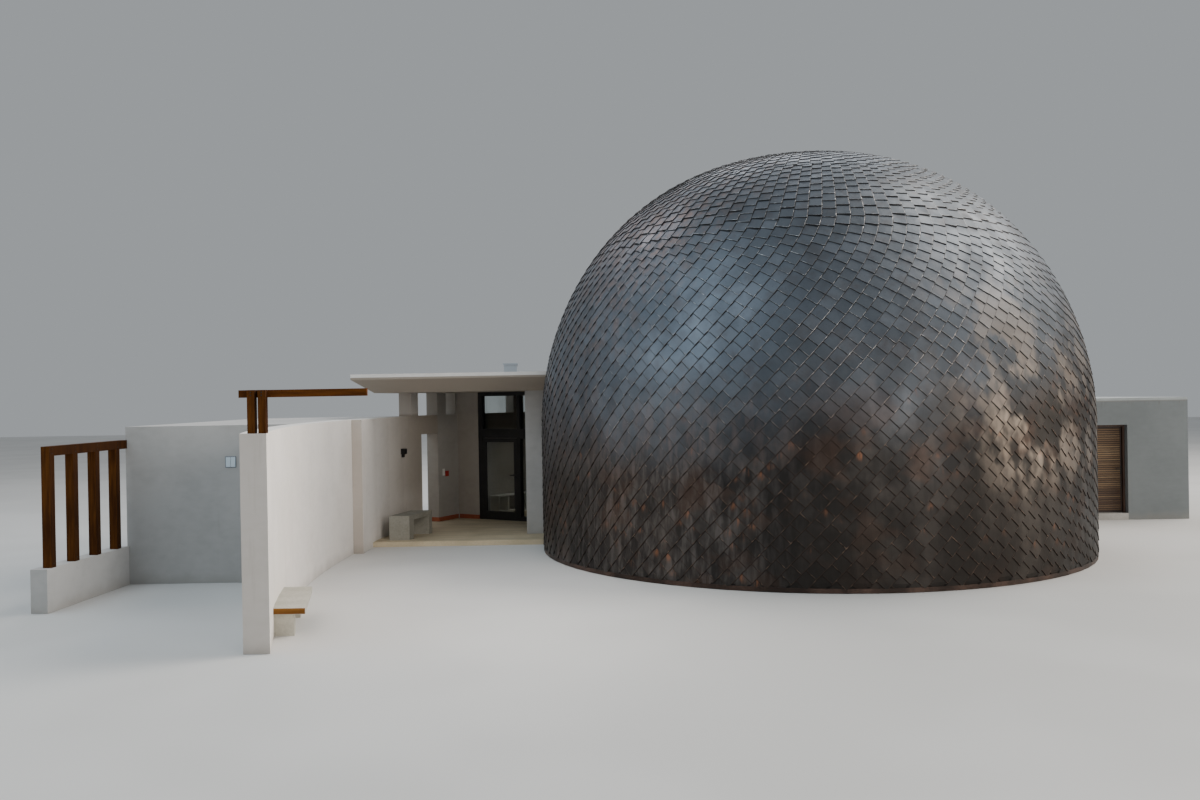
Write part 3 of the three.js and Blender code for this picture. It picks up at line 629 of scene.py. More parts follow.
@dataclass(frozen=True)
class Coated:
    """A coated or painted piece with faint dust and scuffs."""

    name: str
    colour: Colour
    dust: Colour
    roughness: float
    metallic: float = 0.0

    def build(self) -> bpy.types.Material:
        """The coated face.

        Returns:
            The material of the coating.
        """
        graph = Graph(self.name)
        cloud = graph.noise(4.0, 3.0)
        fine = graph.noise(60.0, 3.0)
        dusty = (cloud * 0.7 + fine * 0.3).ramp(0.48, 0.80)
        base = graph.colour(self.colour, self.dust, dusty * 0.4)
        return graph.surface(
            Base_Color=base, Metallic=self.metallic, Roughness=self.roughness + fine * 0.14,
            Normal=graph.relief(fine, 0.0008, 0.3))


@dataclass(frozen=True)
class Glazing:
    """Glass whose grey-green body is painted shade that darkens the room behind it, with dust that
    dulls it in places.
    """

    name: str = "grey_glazing"
    tint: Colour = (0.54, 0.58, 0.565)
    dusty: Colour = (0.48, 0.515, 0.50)

    def build(self) -> bpy.types.Material:
        """The glass.

        Returns:
            The material of the panes.
        """
        graph = Graph(self.name)
        film = graph.noise(1.4, 3.0)
        # Painted shade: the grey tint darkens the room seen through the glass.
        tinted = graph.colour(self.tint, self.dusty, film.ramp(0.4, 0.7))
        return graph.surface(
            Base_Color=tinted, Roughness=0.015 + film * 0.03, IOR=1.45, Transmission_Weight=1.0)


class Palette:
    """Every finish, built once and given out by name."""

    def __init__(self) -> None:
        """Build all finishes."""
        shingle = CopperShingle()
        self.shingle = shingle.build()
        self.shingle_rim = shingle.build_rim()
        self.shingle_edge = shingle.build_edge()
        self.under_copper = SheetCopper(
            "copper_underlay", (0.02, 0.015, 0.013), (0.05, 0.035, 0.028)).build()
        self.flashing = SheetCopper(
            "copper_flashing", (0.034, 0.024, 0.020), (0.100, 0.064, 0.051)).build()
        self.cap = SheetCopper("copper_cap", (0.07, 0.078, 0.09), (0.16, 0.17, 0.19)).build()
        self.wall = Render("white_wall_render", (0.60, 0.585, 0.57), (0.515, 0.50, 0.487)).build()
        # Painted light: a brighter copy of the render for the sunlit approach wall, with painted
        # shade on faces that look to the front.
        self.approach = Render(
            "approach_wall_render", (0.90, 0.862, 0.825), (0.82, 0.782, 0.745),
            front_shade=(0.67, 0.655, 0.64)).build()
        # Painted light and shade: a brighter copy of the render, with painted shade on front faces
        # and under the porch roof.
        self.ring_wall = Render(
            "ring_wall_render", (0.90, 0.862, 0.825), (0.82, 0.782, 0.745),
            front_shade=(0.60, 0.565, 0.53), porch_shade_span=(0.6, 3.3)).build()
        # Painted shade: darker copies of the render for the shaded annex and its edge, with real
        # drip stains.
        self.annex_wall = Render(
            "annex_wall_render", (0.235, 0.256, 0.266), (0.205, 0.225, 0.234), drip=2.712).build()
        self.annex_cap = Render(
            "annex_edge_render", (0.46, 0.49, 0.50), (0.39, 0.42, 0.43), drip=2.712).build()
        # Painted shade: a darker copy of the render for the porch walls, also darker on faces that
        # look to the front.
        self.porch_wall = Render(
            "porch_wall_render", (0.46, 0.438, 0.408), (0.395, 0.373, 0.343),
            front_shade=(0.80, 0.765, 0.725)).build()
        # Painted shade: the canopy's underside and chamfer take a darker colour.
        self.roof = Render(
            "canopy_render", (0.76, 0.745, 0.725), (0.66, 0.645, 0.625), foot=-3.0,
            under=(0.29, 0.255, 0.215), band=3.474, front_shade=(1.0, 1.0, 1.0)).build()
        self.floor = Concrete(
            "floated_floor", (0.60, 0.51, 0.36), (0.49, 0.415, 0.285), boards=True).build()
        self.hall_screed = Concrete("hall_screed", (0.46, 0.45, 0.43), (0.36, 0.35, 0.33)).build()
        # Cast concrete in two copies: the long bench darker, partly painted porch shade; the low
        # bench paler, partly painted sunlight.
        self.bench = Concrete("cast_bench", (0.33, 0.318, 0.275), (0.235, 0.225, 0.19)).build()
        self.low_bench = Concrete(
            "pale_cast_bench", (0.56, 0.545, 0.48), (0.42, 0.405, 0.35)).build()
        self.post = Timber(
            "post_timber", (0.044, 0.013, 0.002), (0.120, 0.042, 0.006), Grain.Z,
            gloss=0.7, sheen=0.10, side=0.55).build()
        self.beam_x = Timber(
            "beam_timber", (0.052, 0.015, 0.002), (0.128, 0.042, 0.006), Grain.X,
            gloss=0.7, sheen=0.10).build()
        self.door_frame = Timber(
            "door_frame_timber", (0.030, 0.014, 0.009), (0.075, 0.035, 0.020), Grain.Z).build()
        self.door_panel = Timber(
            "door_panel_timber", (0.010, 0.005, 0.003), (0.032, 0.014, 0.008), Grain.X).build()
        self.reed = Reed().build()
        self.strip = Timber(
            "end_strip", (0.140, 0.056, 0.008), (0.26, 0.115, 0.020), Grain.X,
            gloss=0.6, sheen=0.2).build()
        self.black = Coated(
            "black_coating", (0.012, 0.012, 0.013), (0.05, 0.047, 0.043), 0.36, 0.25).build()
        self.white = Coated(
            "white_board_coating", (0.78, 0.78, 0.77), (0.6, 0.59, 0.56), 0.45).build()
        self.zinc = Coated("pale_sheet", (0.40, 0.44, 0.48), (0.32, 0.34, 0.36), 0.45, 0.1).build()
        self.red = Coated("red_call_point", (0.45, 0.018, 0.012), (0.3, 0.03, 0.02), 0.35).build()
        self.plate = Coated(
            "blue_grey_plate", (0.150, 0.180, 0.215), (0.20, 0.23, 0.26), 0.5).build()
        self.plate_face = Coated(
            "pale_plate_face", (0.66, 0.77, 0.86), (0.52, 0.60, 0.66), 0.45).build()
        self.switch = Coated("switch_cover", (0.90, 0.88, 0.84), (0.80, 0.77, 0.72), 0.40).build()
        self.bolt = Coated(
            "dark_bolt", (0.05, 0.044, 0.040), (0.10, 0.075, 0.055), 0.5, 0.7).build()
        self.terracotta = Concrete(
            "terracotta_skirting", (0.36, 0.105, 0.050), (0.27, 0.070, 0.034)).build()
        self.glass = Glazing().build()


# Making meshes


def soft_shading() -> bpy.types.NodeTree:
    """A modifier that smooths faceted curves and keeps real edges sharp.

    Returns:
        The geometry node group.
    """
    group = bpy.data.node_groups.new("soft_shading", "GeometryNodeTree")
    group.interface.new_socket("Geometry", in_out="INPUT", socket_type="NodeSocketGeometry")
    group.interface.new_socket("Geometry", in_out="OUTPUT", socket_type="NodeSocketGeometry")
    nodes, link = group.nodes, group.links.new
    inward, outward = nodes.new("NodeGroupInput"), nodes.new("NodeGroupOutput")
    smooth = nodes.new("GeometryNodeSetShadeSmooth")
    crisp = nodes.new("GeometryNodeSetShadeSmooth")
    crisp.domain = "EDGE"
    crisp.inputs["Shade Smooth"].default_value = False
    angle = nodes.new("GeometryNodeInputMeshEdgeAngle")
    test = nodes.new("FunctionNodeCompare")
    test.operation = "GREATER_THAN"
    test.inputs[1].default_value = math.radians(22)
    link(inward.outputs[0], smooth.inputs["Geometry"])
    link(angle.outputs[0], test.inputs[0])
    link(test.outputs[0], crisp.inputs["Selection"])
    link(smooth.outputs[0], crisp.inputs["Geometry"])
    link(crisp.outputs[0], outward.inputs[0])
    return group


class Workshop:
    """Makes pieces and dresses the carried-over nodes."""

    def __init__(self) -> None:
        """Prepare the shared modifier."""
        self.shading = soft_shading()

    def _smooth(self, obj: bpy.types.Object) -> None:
        """Add the soft shading to an object."""
        modifier = obj.modifiers.new("soft_shading", "NODES")
        modifier.node_group = self.shading

    def dress(self, node: str, material: bpy.types.Material, edge: float = 0.004) -> None:
        """Give a carried-over node its finish.

        Args:
            node: The node's name.
            material: Its finish.
            edge: The width of its eased edges, or 0 to leave them.
        """
        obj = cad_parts[node]
        obj.data.materials.clear()
        obj.data.materials.append(material)
        if edge:
            bevel = obj.modifiers.new("eased_edges", "BEVEL")
            bevel.width = edge
            bevel.segments = 1
            bevel.limit_method = "ANGLE"
            bevel.angle_limit = math.radians(40)
            bevel.use_clamp_overlap = True
        self._smooth(obj)
        LOG.info("dressed %s", node)

    def add(self, name: str, mesh: bmesh.types.BMesh, materials: Sequence[bpy.types.Material],
            slot: Slot, body: Body = Body.BUILDING, smooth: bool = True) -> bpy.types.Object:
        """Turn a bmesh into a piece.

        Args:
            name: The piece's name.
            mesh: Its shape, in the part's frame.
            materials: Its finishes, in slot order.
            slot: The record's material slot; not used.
            body: The body that it rides on.
            smooth: Whether curved parts are smoothed.

        Returns:
            The object.
        """
        data = bpy.data.meshes.new(name)
        mesh.to_mesh(data)
        mesh.free()
        for material in materials:
            data.materials.append(material)
        obj = bpy.data.objects.new(name, data)
        bpy.context.scene.collection.objects.link(obj)
        if smooth:
            self._smooth(obj)
        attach(obj, body.value)
        LOG.info("made %s, %d faces", name, len(data.polygons))
        return obj


def block(mesh: bmesh.types.BMesh, low: Point, high: Point, matrix: Matrix | None = None,
          bevel: float = 0.0, material: int = 0) -> None:
    """Add an eased box to a mesh.

    Args:
        mesh: The mesh that grows.
        low: The lowest corner.
        high: The highest corner.
        matrix: Where the box's own frame lies.
        bevel: The width of its eased edges.
        material: Its finish's number.
    """
    part = bmesh.new()
    bmesh.ops.create_cube(part, size=1.0)
    size = [b - a for a, b in zip(low, high)]
    centre = [(a + b) / 2 for a, b in zip(low, high)]
    bmesh.ops.scale(part, vec=size, verts=part.verts)
    bmesh.ops.translate(part, vec=centre, verts=part.verts)
    if bevel:
        bmesh.ops.bevel(part, geom=part.edges[:], offset=bevel, segments=1, affect="EDGES")
    merge(mesh, part, matrix, material)


def merge(mesh: bmesh.types.BMesh, part: bmesh.types.BMesh, matrix: Matrix | None = None,
          material: int = 0) -> None:
    """Move one mesh into another.

    Args:
        mesh: The mesh that grows.
        part: The mesh that is used up.
        matrix: Where it goes.
        material: Its finish's number.
    """
    if matrix is not None:
        bmesh.ops.transform(part, matrix=matrix, verts=part.verts)
    for face in part.faces:
        face.material_index = material
    carrier = bpy.data.meshes.new("carrier")
    part.to_mesh(carrier)
    part.free()
    mesh.from_mesh(carrier)
    bpy.data.meshes.remove(carrier)


def rod(mesh: bmesh.types.BMesh, start: Point, end: Point, radius: float, sides: int = 16,
        bevel: float = 0.0, matrix: Matrix | None = None, material: int = 0) -> None:
    """Add a round rod between two points.

    Args:
        mesh: The mesh that grows.
        start: One end's centre.
        end: The other end's centre.
        radius: The rod's radius.
        sides: The number of its sides.
        bevel: The width of its eased rims.
        matrix: Where the rod's own frame lies.
        material: Its finish's number.
    """
    part = bmesh.new()
    a, b = Vector(start), Vector(end)
    bmesh.ops.create_cone(part, cap_ends=True, segments=sides, radius1=radius, radius2=radius,
                          depth=(b - a).length)
    if bevel:
        rims = [edge for edge in part.edges if abs(edge.verts[0].co.z - edge.verts[1].co.z) < 1e-6]
        bmesh.ops.bevel(part, geom=rims, offset=bevel, segments=2, affect="EDGES")
    turn = (b - a).to_track_quat("Z", "Y").to_matrix().to_4x4()
    local = Matrix.Translation((a + b) / 2) @ turn
    merge(mesh, part, (matrix @ local) if matrix is not None else local, material)


def swept(mesh: bmesh.types.BMesh, sections: Sequence[Sequence[Point]], closed: bool = False,
          material: int = 0) -> None:
    """Add a skin through equal cross-sections, with its ends filled.

    Args:
        mesh: The mesh that grows.
        sections: Rings of points, in order.
        closed: Whether the last section joins the first.
        material: Its finish's number.
    """
    rings = [[mesh.verts.new(point) for point in section] for section in sections]
    count = len(rings[0])
    pairs = list(zip(rings, rings[1:]))
    if closed:
        pairs.append((rings[-1], rings[0]))
    for one, two in pairs:
        for k in range(count):
            face = mesh.faces.new((one[k], one[(k + 1) % count], two[(k + 1) % count], two[k]))
            face.material_index = material
    if not closed:
        for ring in (list(reversed(rings[0])), rings[-1]):
            mesh.faces.new(ring).material_index = material


def facet_offset(angle: float) -> float:
    """The angle from the middle of a round wall's flat facet, in degrees."""
    return (angle % FACET) - FACET / 2


def facet_radius(radius: float, angle: float) -> float:
    """The distance from the axis to the face of a round wall's facets."""
    half, offset = math.radians(FACET / 2), math.radians(facet_offset(angle))
    return radius * math.cos(half) / math.cos(offset)


def turned_about_axis(degrees: float) -> Matrix:
    """The frame whose -X axis points out from the dome's axis at an angle."""
    return Matrix.Rotation(math.radians(degrees - 180), 4, "Z")


def beads(mesh: bmesh.types.BMesh, pane: tuple[float, float, float, float],
          depths: tuple[float, float], width: float, matrix: Matrix) -> None:
    """Add four glazing beads round a pane.

    Args:
        mesh: The mesh that grows.
        pane: Its left, right, lower and upper edge.
        depths: The beads' front and back.
        width: How far they cover the pane.
        matrix: Where the pane's own frame lies.
    """
    x0, x1, z0, z1 = pane
    for low, high in (((x0, z0), (x1, z0 + width)), ((x0, z1 - width), (x1, z1)),
                      ((x0, z0 + width), (x0 + width, z1 - width)),
                      ((x1 - width, z0 + width), (x1, z1 - width))):
        block(mesh, (low[0], depths[0], low[1]), (high[0], depths[1], high[1]), matrix, 0.002)


def polar(radius: float, degrees: float, height: float) -> Point:
    """A point by its distance from the dome's axis, its angle and its height."""
    turn = math.radians(degrees)
    return (radius * math.cos(turn), radius * math.sin(turn), height)


def spread(start: float, end: float, step: float) -> list[float]:
    """Even steps from start to end, about step apart."""
    count = max(1, round(abs(end - start) / step))
    return [start + (end - start) * i / count for i in range(count + 1)]


@dataclass
class DomeProfile:
    """The dome's outer curve: a short upright drum under a superellipse."""

    radius: float = 5.245
    height: float = 7.63
    waist: float = 2.43
    rise: float = 1.94
    spread: float = 2.28
    heights: np.ndarray = field(init=False)
    radii: np.ndarray = field(init=False)
    arcs: np.ndarray = field(init=False)

    def __post_init__(self) -> None:
        """Tabulate the curve by its length from the ground."""
        steps = np.linspace(0.0, math.pi / 2, 3000)
        rise = self.height - self.waist
        curve = self.waist + rise * np.sin(steps) ** (2 / self.rise)
        width = self.radius * np.cos(steps) ** (2 / self.spread)
        drum = np.linspace(0.0, self.waist, 200)[:-1]
        self.heights = np.concatenate([drum, curve])
        self.radii = np.concatenate([np.full(drum.shape, self.radius), width])
        lengths = np.hypot(np.diff(self.heights), np.diff(self.radii))
        self.arcs = np.concatenate([[0.0], np.cumsum(lengths)])

    def at(self, arc: float) -> tuple[float, float]:
        """Radius and height at a length along the curve."""
        radius = float(np.interp(arc, self.arcs, self.radii))
        return radius, float(np.interp(arc, self.arcs, self.heights))

    def arc_of_height(self, height: float) -> float:
        """The curve's length up to a height."""
        return float(np.interp(height, self.heights, self.arcs))

    def arc_of_radius(self, radius: float) -> float:
        """The curve's length up to where its radius has shrunk to this."""
        return float(np.interp(-radius, -self.radii, self.arcs))

    def point(self, bearing: float, arc: float, lift: float) -> Vector:
        """A point off the surface.

        Args:
            bearing: The angle from the front, in radians, growing to the right.
            arc: The length along the curve.
            lift: The distance out from the surface.

        Returns:
            The point in the part's frame.
        """
        r0, z0 = self.at(max(arc - 0.01, 0.0))
        r1, z1 = self.at(arc + 0.01)
        radius, height = self.at(arc)
        run, climb = r1 - r0, z1 - z0
        length = math.hypot(run, climb) or 1.0
        out, up = climb / length, -run / length
        reach = radius + lift * out
        return Vector((reach * math.sin(bearing), -reach * math.cos(bearing), height + lift * up))


@dataclass
class ShingleZone:
    """One band of shingles whose courses climb the dome in a spiral.

    The courses are parallel strips. They rise to the right at about 46 degrees on the drum
    and steepen as the dome narrows, because their width hardly changes. The slip holds four
    heights: every second course moves on by half a shingle between the first two, and back
    between the last two, which keeps the joints staggered where the courses steepen.
    """

    strips: int
    low: float
    high: float
    width_low: float
    width_high: float
    length_low: float
    length_high: float
    lift: float = 0.0
    steepest: float = 0.996
    slip: tuple[float, float, float, float] | None = None


@dataclass
class ShingledDome:
    """The dome's copper shingles, laid over the carried-over shell."""

    profile: DomeProfile = field(default_factory=DomeProfile)
    base: float = 0.066
    step: float = 0.012
    lowest_lift: float = 0.0015
    rim: float = 0.0055
    rim_drop: float = 0.0018
    lap: float = 0.12
    door_half: float = 0.55
    door_head: float = 2.2
    door_side: float = 4.5
    top_limit: float = 7.648
    calm_above: float = 4.2
    seed: int = 71
    collar_sides: int = 96
    collar: tuple[tuple[float, float], ...] = (
        (0.628, 0.010), (0.628, 0.031), (0.700, 0.034), (0.862, 0.034), (0.867, 0.021),
        (0.862, 0.021), (0.857, 0.031), (0.700, 0.031), (0.632, 0.028), (0.632, 0.010))

    def zones(self) -> list[ShingleZone]:
        """The bands from the ground to the cap.

        Returns:
            The zones, lowest first.
        """
        turn_1 = self.profile.arc_of_radius(2.75)
        turn_2 = self.profile.arc_of_radius(1.45)
        top = self.profile.arc_of_radius(0.64)
        return [
            ShingleZone(112, -0.3, turn_1, 0.213, 0.230, 0.215, 0.20, slip=(4.2, 5.2, 5.6, 6.3)),
            ShingleZone(82, turn_1, turn_2, 0.25, 0.25, 0.205, 0.20, 0.002),
            ShingleZone(44, turn_2, top, 0.25, 0.25, 0.20, 0.20, 0.003),
        ]

    def _tables(self, zone: ShingleZone) -> tuple[np.ndarray, ...]:
        """Course phases along the curve.

        Args:
            zone: The band.

        Returns:
            Arc lengths, the strip phase, the row phase, and the course's slope, width and length.
        """
        arcs = np.linspace(zone.low - 0.4, zone.high + 0.4, 2400)
        radii = np.interp(arcs, self.profile.arcs, self.profile.radii)
        share = np.clip((arcs - max(zone.low, 0)) / (zone.high - max(zone.low, 0)), 0, 1)
        share = np.clip((share - 0.45) / 0.45, 0, 1) if zone.low < 0 else share
        width = zone.width_low + (zone.width_high - zone.width_low) * share
        length = zone.length_low + (zone.length_high - zone.length_low) * share
        rate = zone.strips / (2 * math.pi)
        width = np.minimum(width, zone.steepest * radii / rate)
        sine = np.clip(rate * width / radii, 0.2, zone.steepest)
        slope = np.arcsin(sine)
        strip_rate = np.cos(slope) / width
        row_rate = (1 / length - 0.5 * rate * np.cos(slope) / radii) / sine
        spacing = arcs[1] - arcs[0]
        strip_phase, row_phase = (
            np.concatenate([[0], np.cumsum((rates[1:] + rates[:-1]) / 2)]) * spacing
            for rates in (strip_rate, row_rate))
        return arcs, strip_phase, row_phase, slope, width, length

    def _slip(self, zone: ShingleZone, arcs: np.ndarray) -> np.ndarray:
        """How far every second course is moved on.

        Args:
            zone: The band.
            arcs: Lengths along the curve.

        Returns:
            The shift at each length, in shingles.
        """
        if zone.slip is None:
            return np.zeros(arcs.shape)
        marks = [self.profile.arc_of_height(height) for height in zone.slip]
        return np.interp(arcs, marks, [0.0, 0.5, 0.5, 0.0])

    def _tile(self, mesh: bmesh.types.BMesh, layers: tuple, centre: tuple[float, float],
              frame_of: tuple[float, float, float], rng: random.Random, extra: float) -> None:
        """Add one shingle.

        Args:
            mesh: The mesh that grows.
            layers: The face layers for tone and spot, and the layer for places on the tile.
            centre: Its bearing and arc length.
            frame_of: Its course's slope, its width and its length.
            rng: The source of small differences.
            extra: More lift, where a band laps the band below.
        """
        bearing, arc = centre
        slope, width, length = frame_of
        radius, _ = self.profile.at(arc)
        twist = rng.gauss(0, 0.006)
        along = (math.cos(slope + twist), math.sin(slope + twist))
        across = (-along[1], along[0])
        ease = 0.0011 if arc < self.calm_above else 0.0006
        tip = rng.gauss(0, ease)
        roll = rng.gauss(0, ease)
        base = extra + self.lowest_lift + abs(rng.gauss(0, 0.0006))
        rim_u, rim_v = self.rim / length, self.rim / width

        def corner(u: float, v: float, drop: float) -> bmesh.types.BMVert:
            """One corner, by its shares of the length and the width.

            Args:
                u: Its share of the tile's length.
                v: Its share of the tile's width.
                drop: How far it lies under the face.

            Returns:
                The new vertex.
            """
            dx = (u - 0.5) * length
            dy = (v - 0.5) * width
            side = dx * along[0] + dy * across[0]
            rise = dx * along[1] + dy * across[1]
            lift = base + self.step * (1 - u) + self.step * (1 - v)
            lift += tip * (1 - u) + roll * (1 - v) - drop
            turn = side / max(radius, 0.3)
            point = self.profile.point(bearing + turn, arc + rise, max(lift, 0.0))
            point.z = min(point.z, self.top_limit)
            return mesh.verts.new(point)

        far = 1 + self.lap
        fall = self.step * 1.5 + 0.001
        share = {"u": rim_u, "v": rim_v, "0": 0.0, "1": far}
        inset, lip, foot = (
            {name: corner(share[name[0]], share[name[1]], drop) for name in names}
            for names, drop in ((("uv", "1v", "11", "u1"), 0), (("01", "00", "10"), self.rim_drop),
                                (("01", "00", "10"), fall)))
        quads = [
            ((inset, "uv"), (inset, "1v"), (inset, "11"), (inset, "u1"), 0),
            ((lip, "00"), (inset, "uv"), (inset, "u1"), (lip, "01"), 1),
            ((lip, "00"), (lip, "10"), (inset, "1v"), (inset, "uv"), 1),
            ((foot, "00"), (lip, "00"), (lip, "01"), (foot, "01"), 2),
            ((foot, "00"), (foot, "10"), (lip, "10"), (lip, "00"), 2),
        ]
        tone, spot = rng.random(), rng.random()
        for *corners, index in quads:
            made = mesh.faces.new([ring[name] for ring, name in corners])
            made.material_index = index
            made[layers[0]] = tone
            made[layers[1]] = spot
            for loop, (_, name) in zip(made.loops, corners):
                loop[layers[2]].uv = (share[name[0]], share[name[1]])

    def _trim(self, mesh: bmesh.types.BMesh, low: float, high: float) -> None:
        """Cut a band's shingles off at two heights.

        Args:
            mesh: The band.
            low: The lower height.
            high: The upper height.
        """
        for height, normal in ((low, -1), (high, 1)):
            bmesh.ops.bisect_plane(
                mesh, geom=mesh.verts[:] + mesh.edges[:] + mesh.faces[:], dist=1e-5,
                plane_co=(0, 0, height), plane_no=(0, 0, normal), clear_outer=True)

    def _clear_doorway(self, mesh: bmesh.types.BMesh) -> None:
        """Take the shingles out of the back doorway.

        Args:
            mesh: The lowest band.
        """
        def faces_within(half: float, head: float) -> list[bmesh.types.BMFace]:
            """The faces on the doorway's side whose middle lies within a width and a height.

            Args:
                half: Half the width.
                head: The height.

            Returns:
                The faces.
            """
            middles = [(face, face.calc_center_median()) for face in mesh.faces]
            return [face for face, middle in middles
                    if middle.y > self.door_side and abs(middle.x) < half and middle.z < head]

        for co, no in (((-self.door_half, 0, 0), (1, 0, 0)), ((self.door_half, 0, 0), (1, 0, 0)),
                       ((0, 0, self.door_head), (0, 0, 1))):
            near = faces_within(self.door_half + 0.65, self.door_head + 0.6)
            geom = {part for face in near for part in (face, *face.edges, *face.verts)}
            bmesh.ops.bisect_plane(mesh, geom=list(geom), dist=1e-5, plane_co=co, plane_no=no)
        inside = faces_within(self.door_half, self.door_head)
        bmesh.ops.delete(mesh, geom=inside, context="FACES")

    def _collar(self, shop: Workshop, palette: Palette) -> None:
        """A turned sheet ring over the tips of the last course, round the cap.

        Args:
            shop: Makes the pieces.
            palette: The finishes.
        """
        mesh = bmesh.new()
        rings = []
        for k in range(self.collar_sides):
            bearing = 2 * math.pi * k / self.collar_sides
            ring = []
            for radius, lift in self.collar:
                arc = self.profile.arc_of_radius(radius)
                point = self.profile.point(bearing, arc, lift)
                ring.append((point.x, point.y, min(point.z, self.top_limit)))
            rings.append(ring)
        swept(mesh, rings, closed=True)
        bmesh.ops.recalc_face_normals(mesh, faces=mesh.faces)
        shop.add("crown_collar", mesh, [palette.cap], Slot.COPPER)

    def build(self, shop: Workshop, palette: Palette) -> None:
        """Lay every band and dress the shell under it.

        Args:
            shop: Makes the pieces.
            palette: The finishes.
        """
        rng = random.Random(self.seed)
        names = ["dome_shingles", "upper_shingles", "crown_shingles"]
        for zone, name in zip(self.zones(), names):
            arcs, strip_phase, row_phase, slopes, widths, lengths = self._tables(zone)
            mesh = bmesh.new()
            layers = (mesh.faces.layers.float.new("tone"), mesh.faces.layers.float.new("spot"),
                      mesh.loops.layers.uv.new("tile"))
            rate = zone.strips / (2 * math.pi)
            combined = 0.5 * strip_phase + row_phase
            shifted = combined + self._slip(zone, arcs)
            for strip in range(zone.strips):
                course = shifted if strip % 2 else combined
                stray = rng.gauss(0, 0.05)
                start = int(math.floor(course[0] + 0.5 * (strip + 0.5)))
                end = int(math.ceil(course[-1] + 0.5 * (strip + 0.5)))
                for row in range(start, end + 1):
                    arc = float(np.interp(row + 0.5 + stray - 0.5 * (strip + 0.5), course, arcs))
                    if not zone.low - 0.2 < arc < zone.high + 0.2:
                        continue
                    phase = float(np.interp(arc, arcs, strip_phase))
                    bearing = (strip + 0.5 + phase) / rate
                    sizes = tuple(
                        float(np.interp(arc, arcs, table)) for table in (slopes, widths, lengths))
                    self._tile(mesh, layers, (bearing, arc), sizes, rng, zone.lift)
            low = self.base if zone.low < 0 else self.profile.at(zone.low - 0.035)[1]
            self._trim(mesh, low, self.profile.at(zone.high + 0.01)[1])
            if zone.low < 0:
                self._clear_doorway(mesh)
            shop.add(name, mesh, [palette.shingle, palette.shingle_rim, palette.shingle_edge],
                     Slot.COPPER, smooth=False)
        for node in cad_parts:
            if node.startswith(("drum_", "lower_shell", "upper_shell")):
                shop.dress(node, palette.under_copper, 0.0)
        self._collar(shop, palette)
        shop.dress("crown_cap", palette.cap, 0.003)
        shop.dress("base_flashing", palette.flashing, 0.002)
        shop.dress("dome_floor", palette.hall_screed, 0.0)


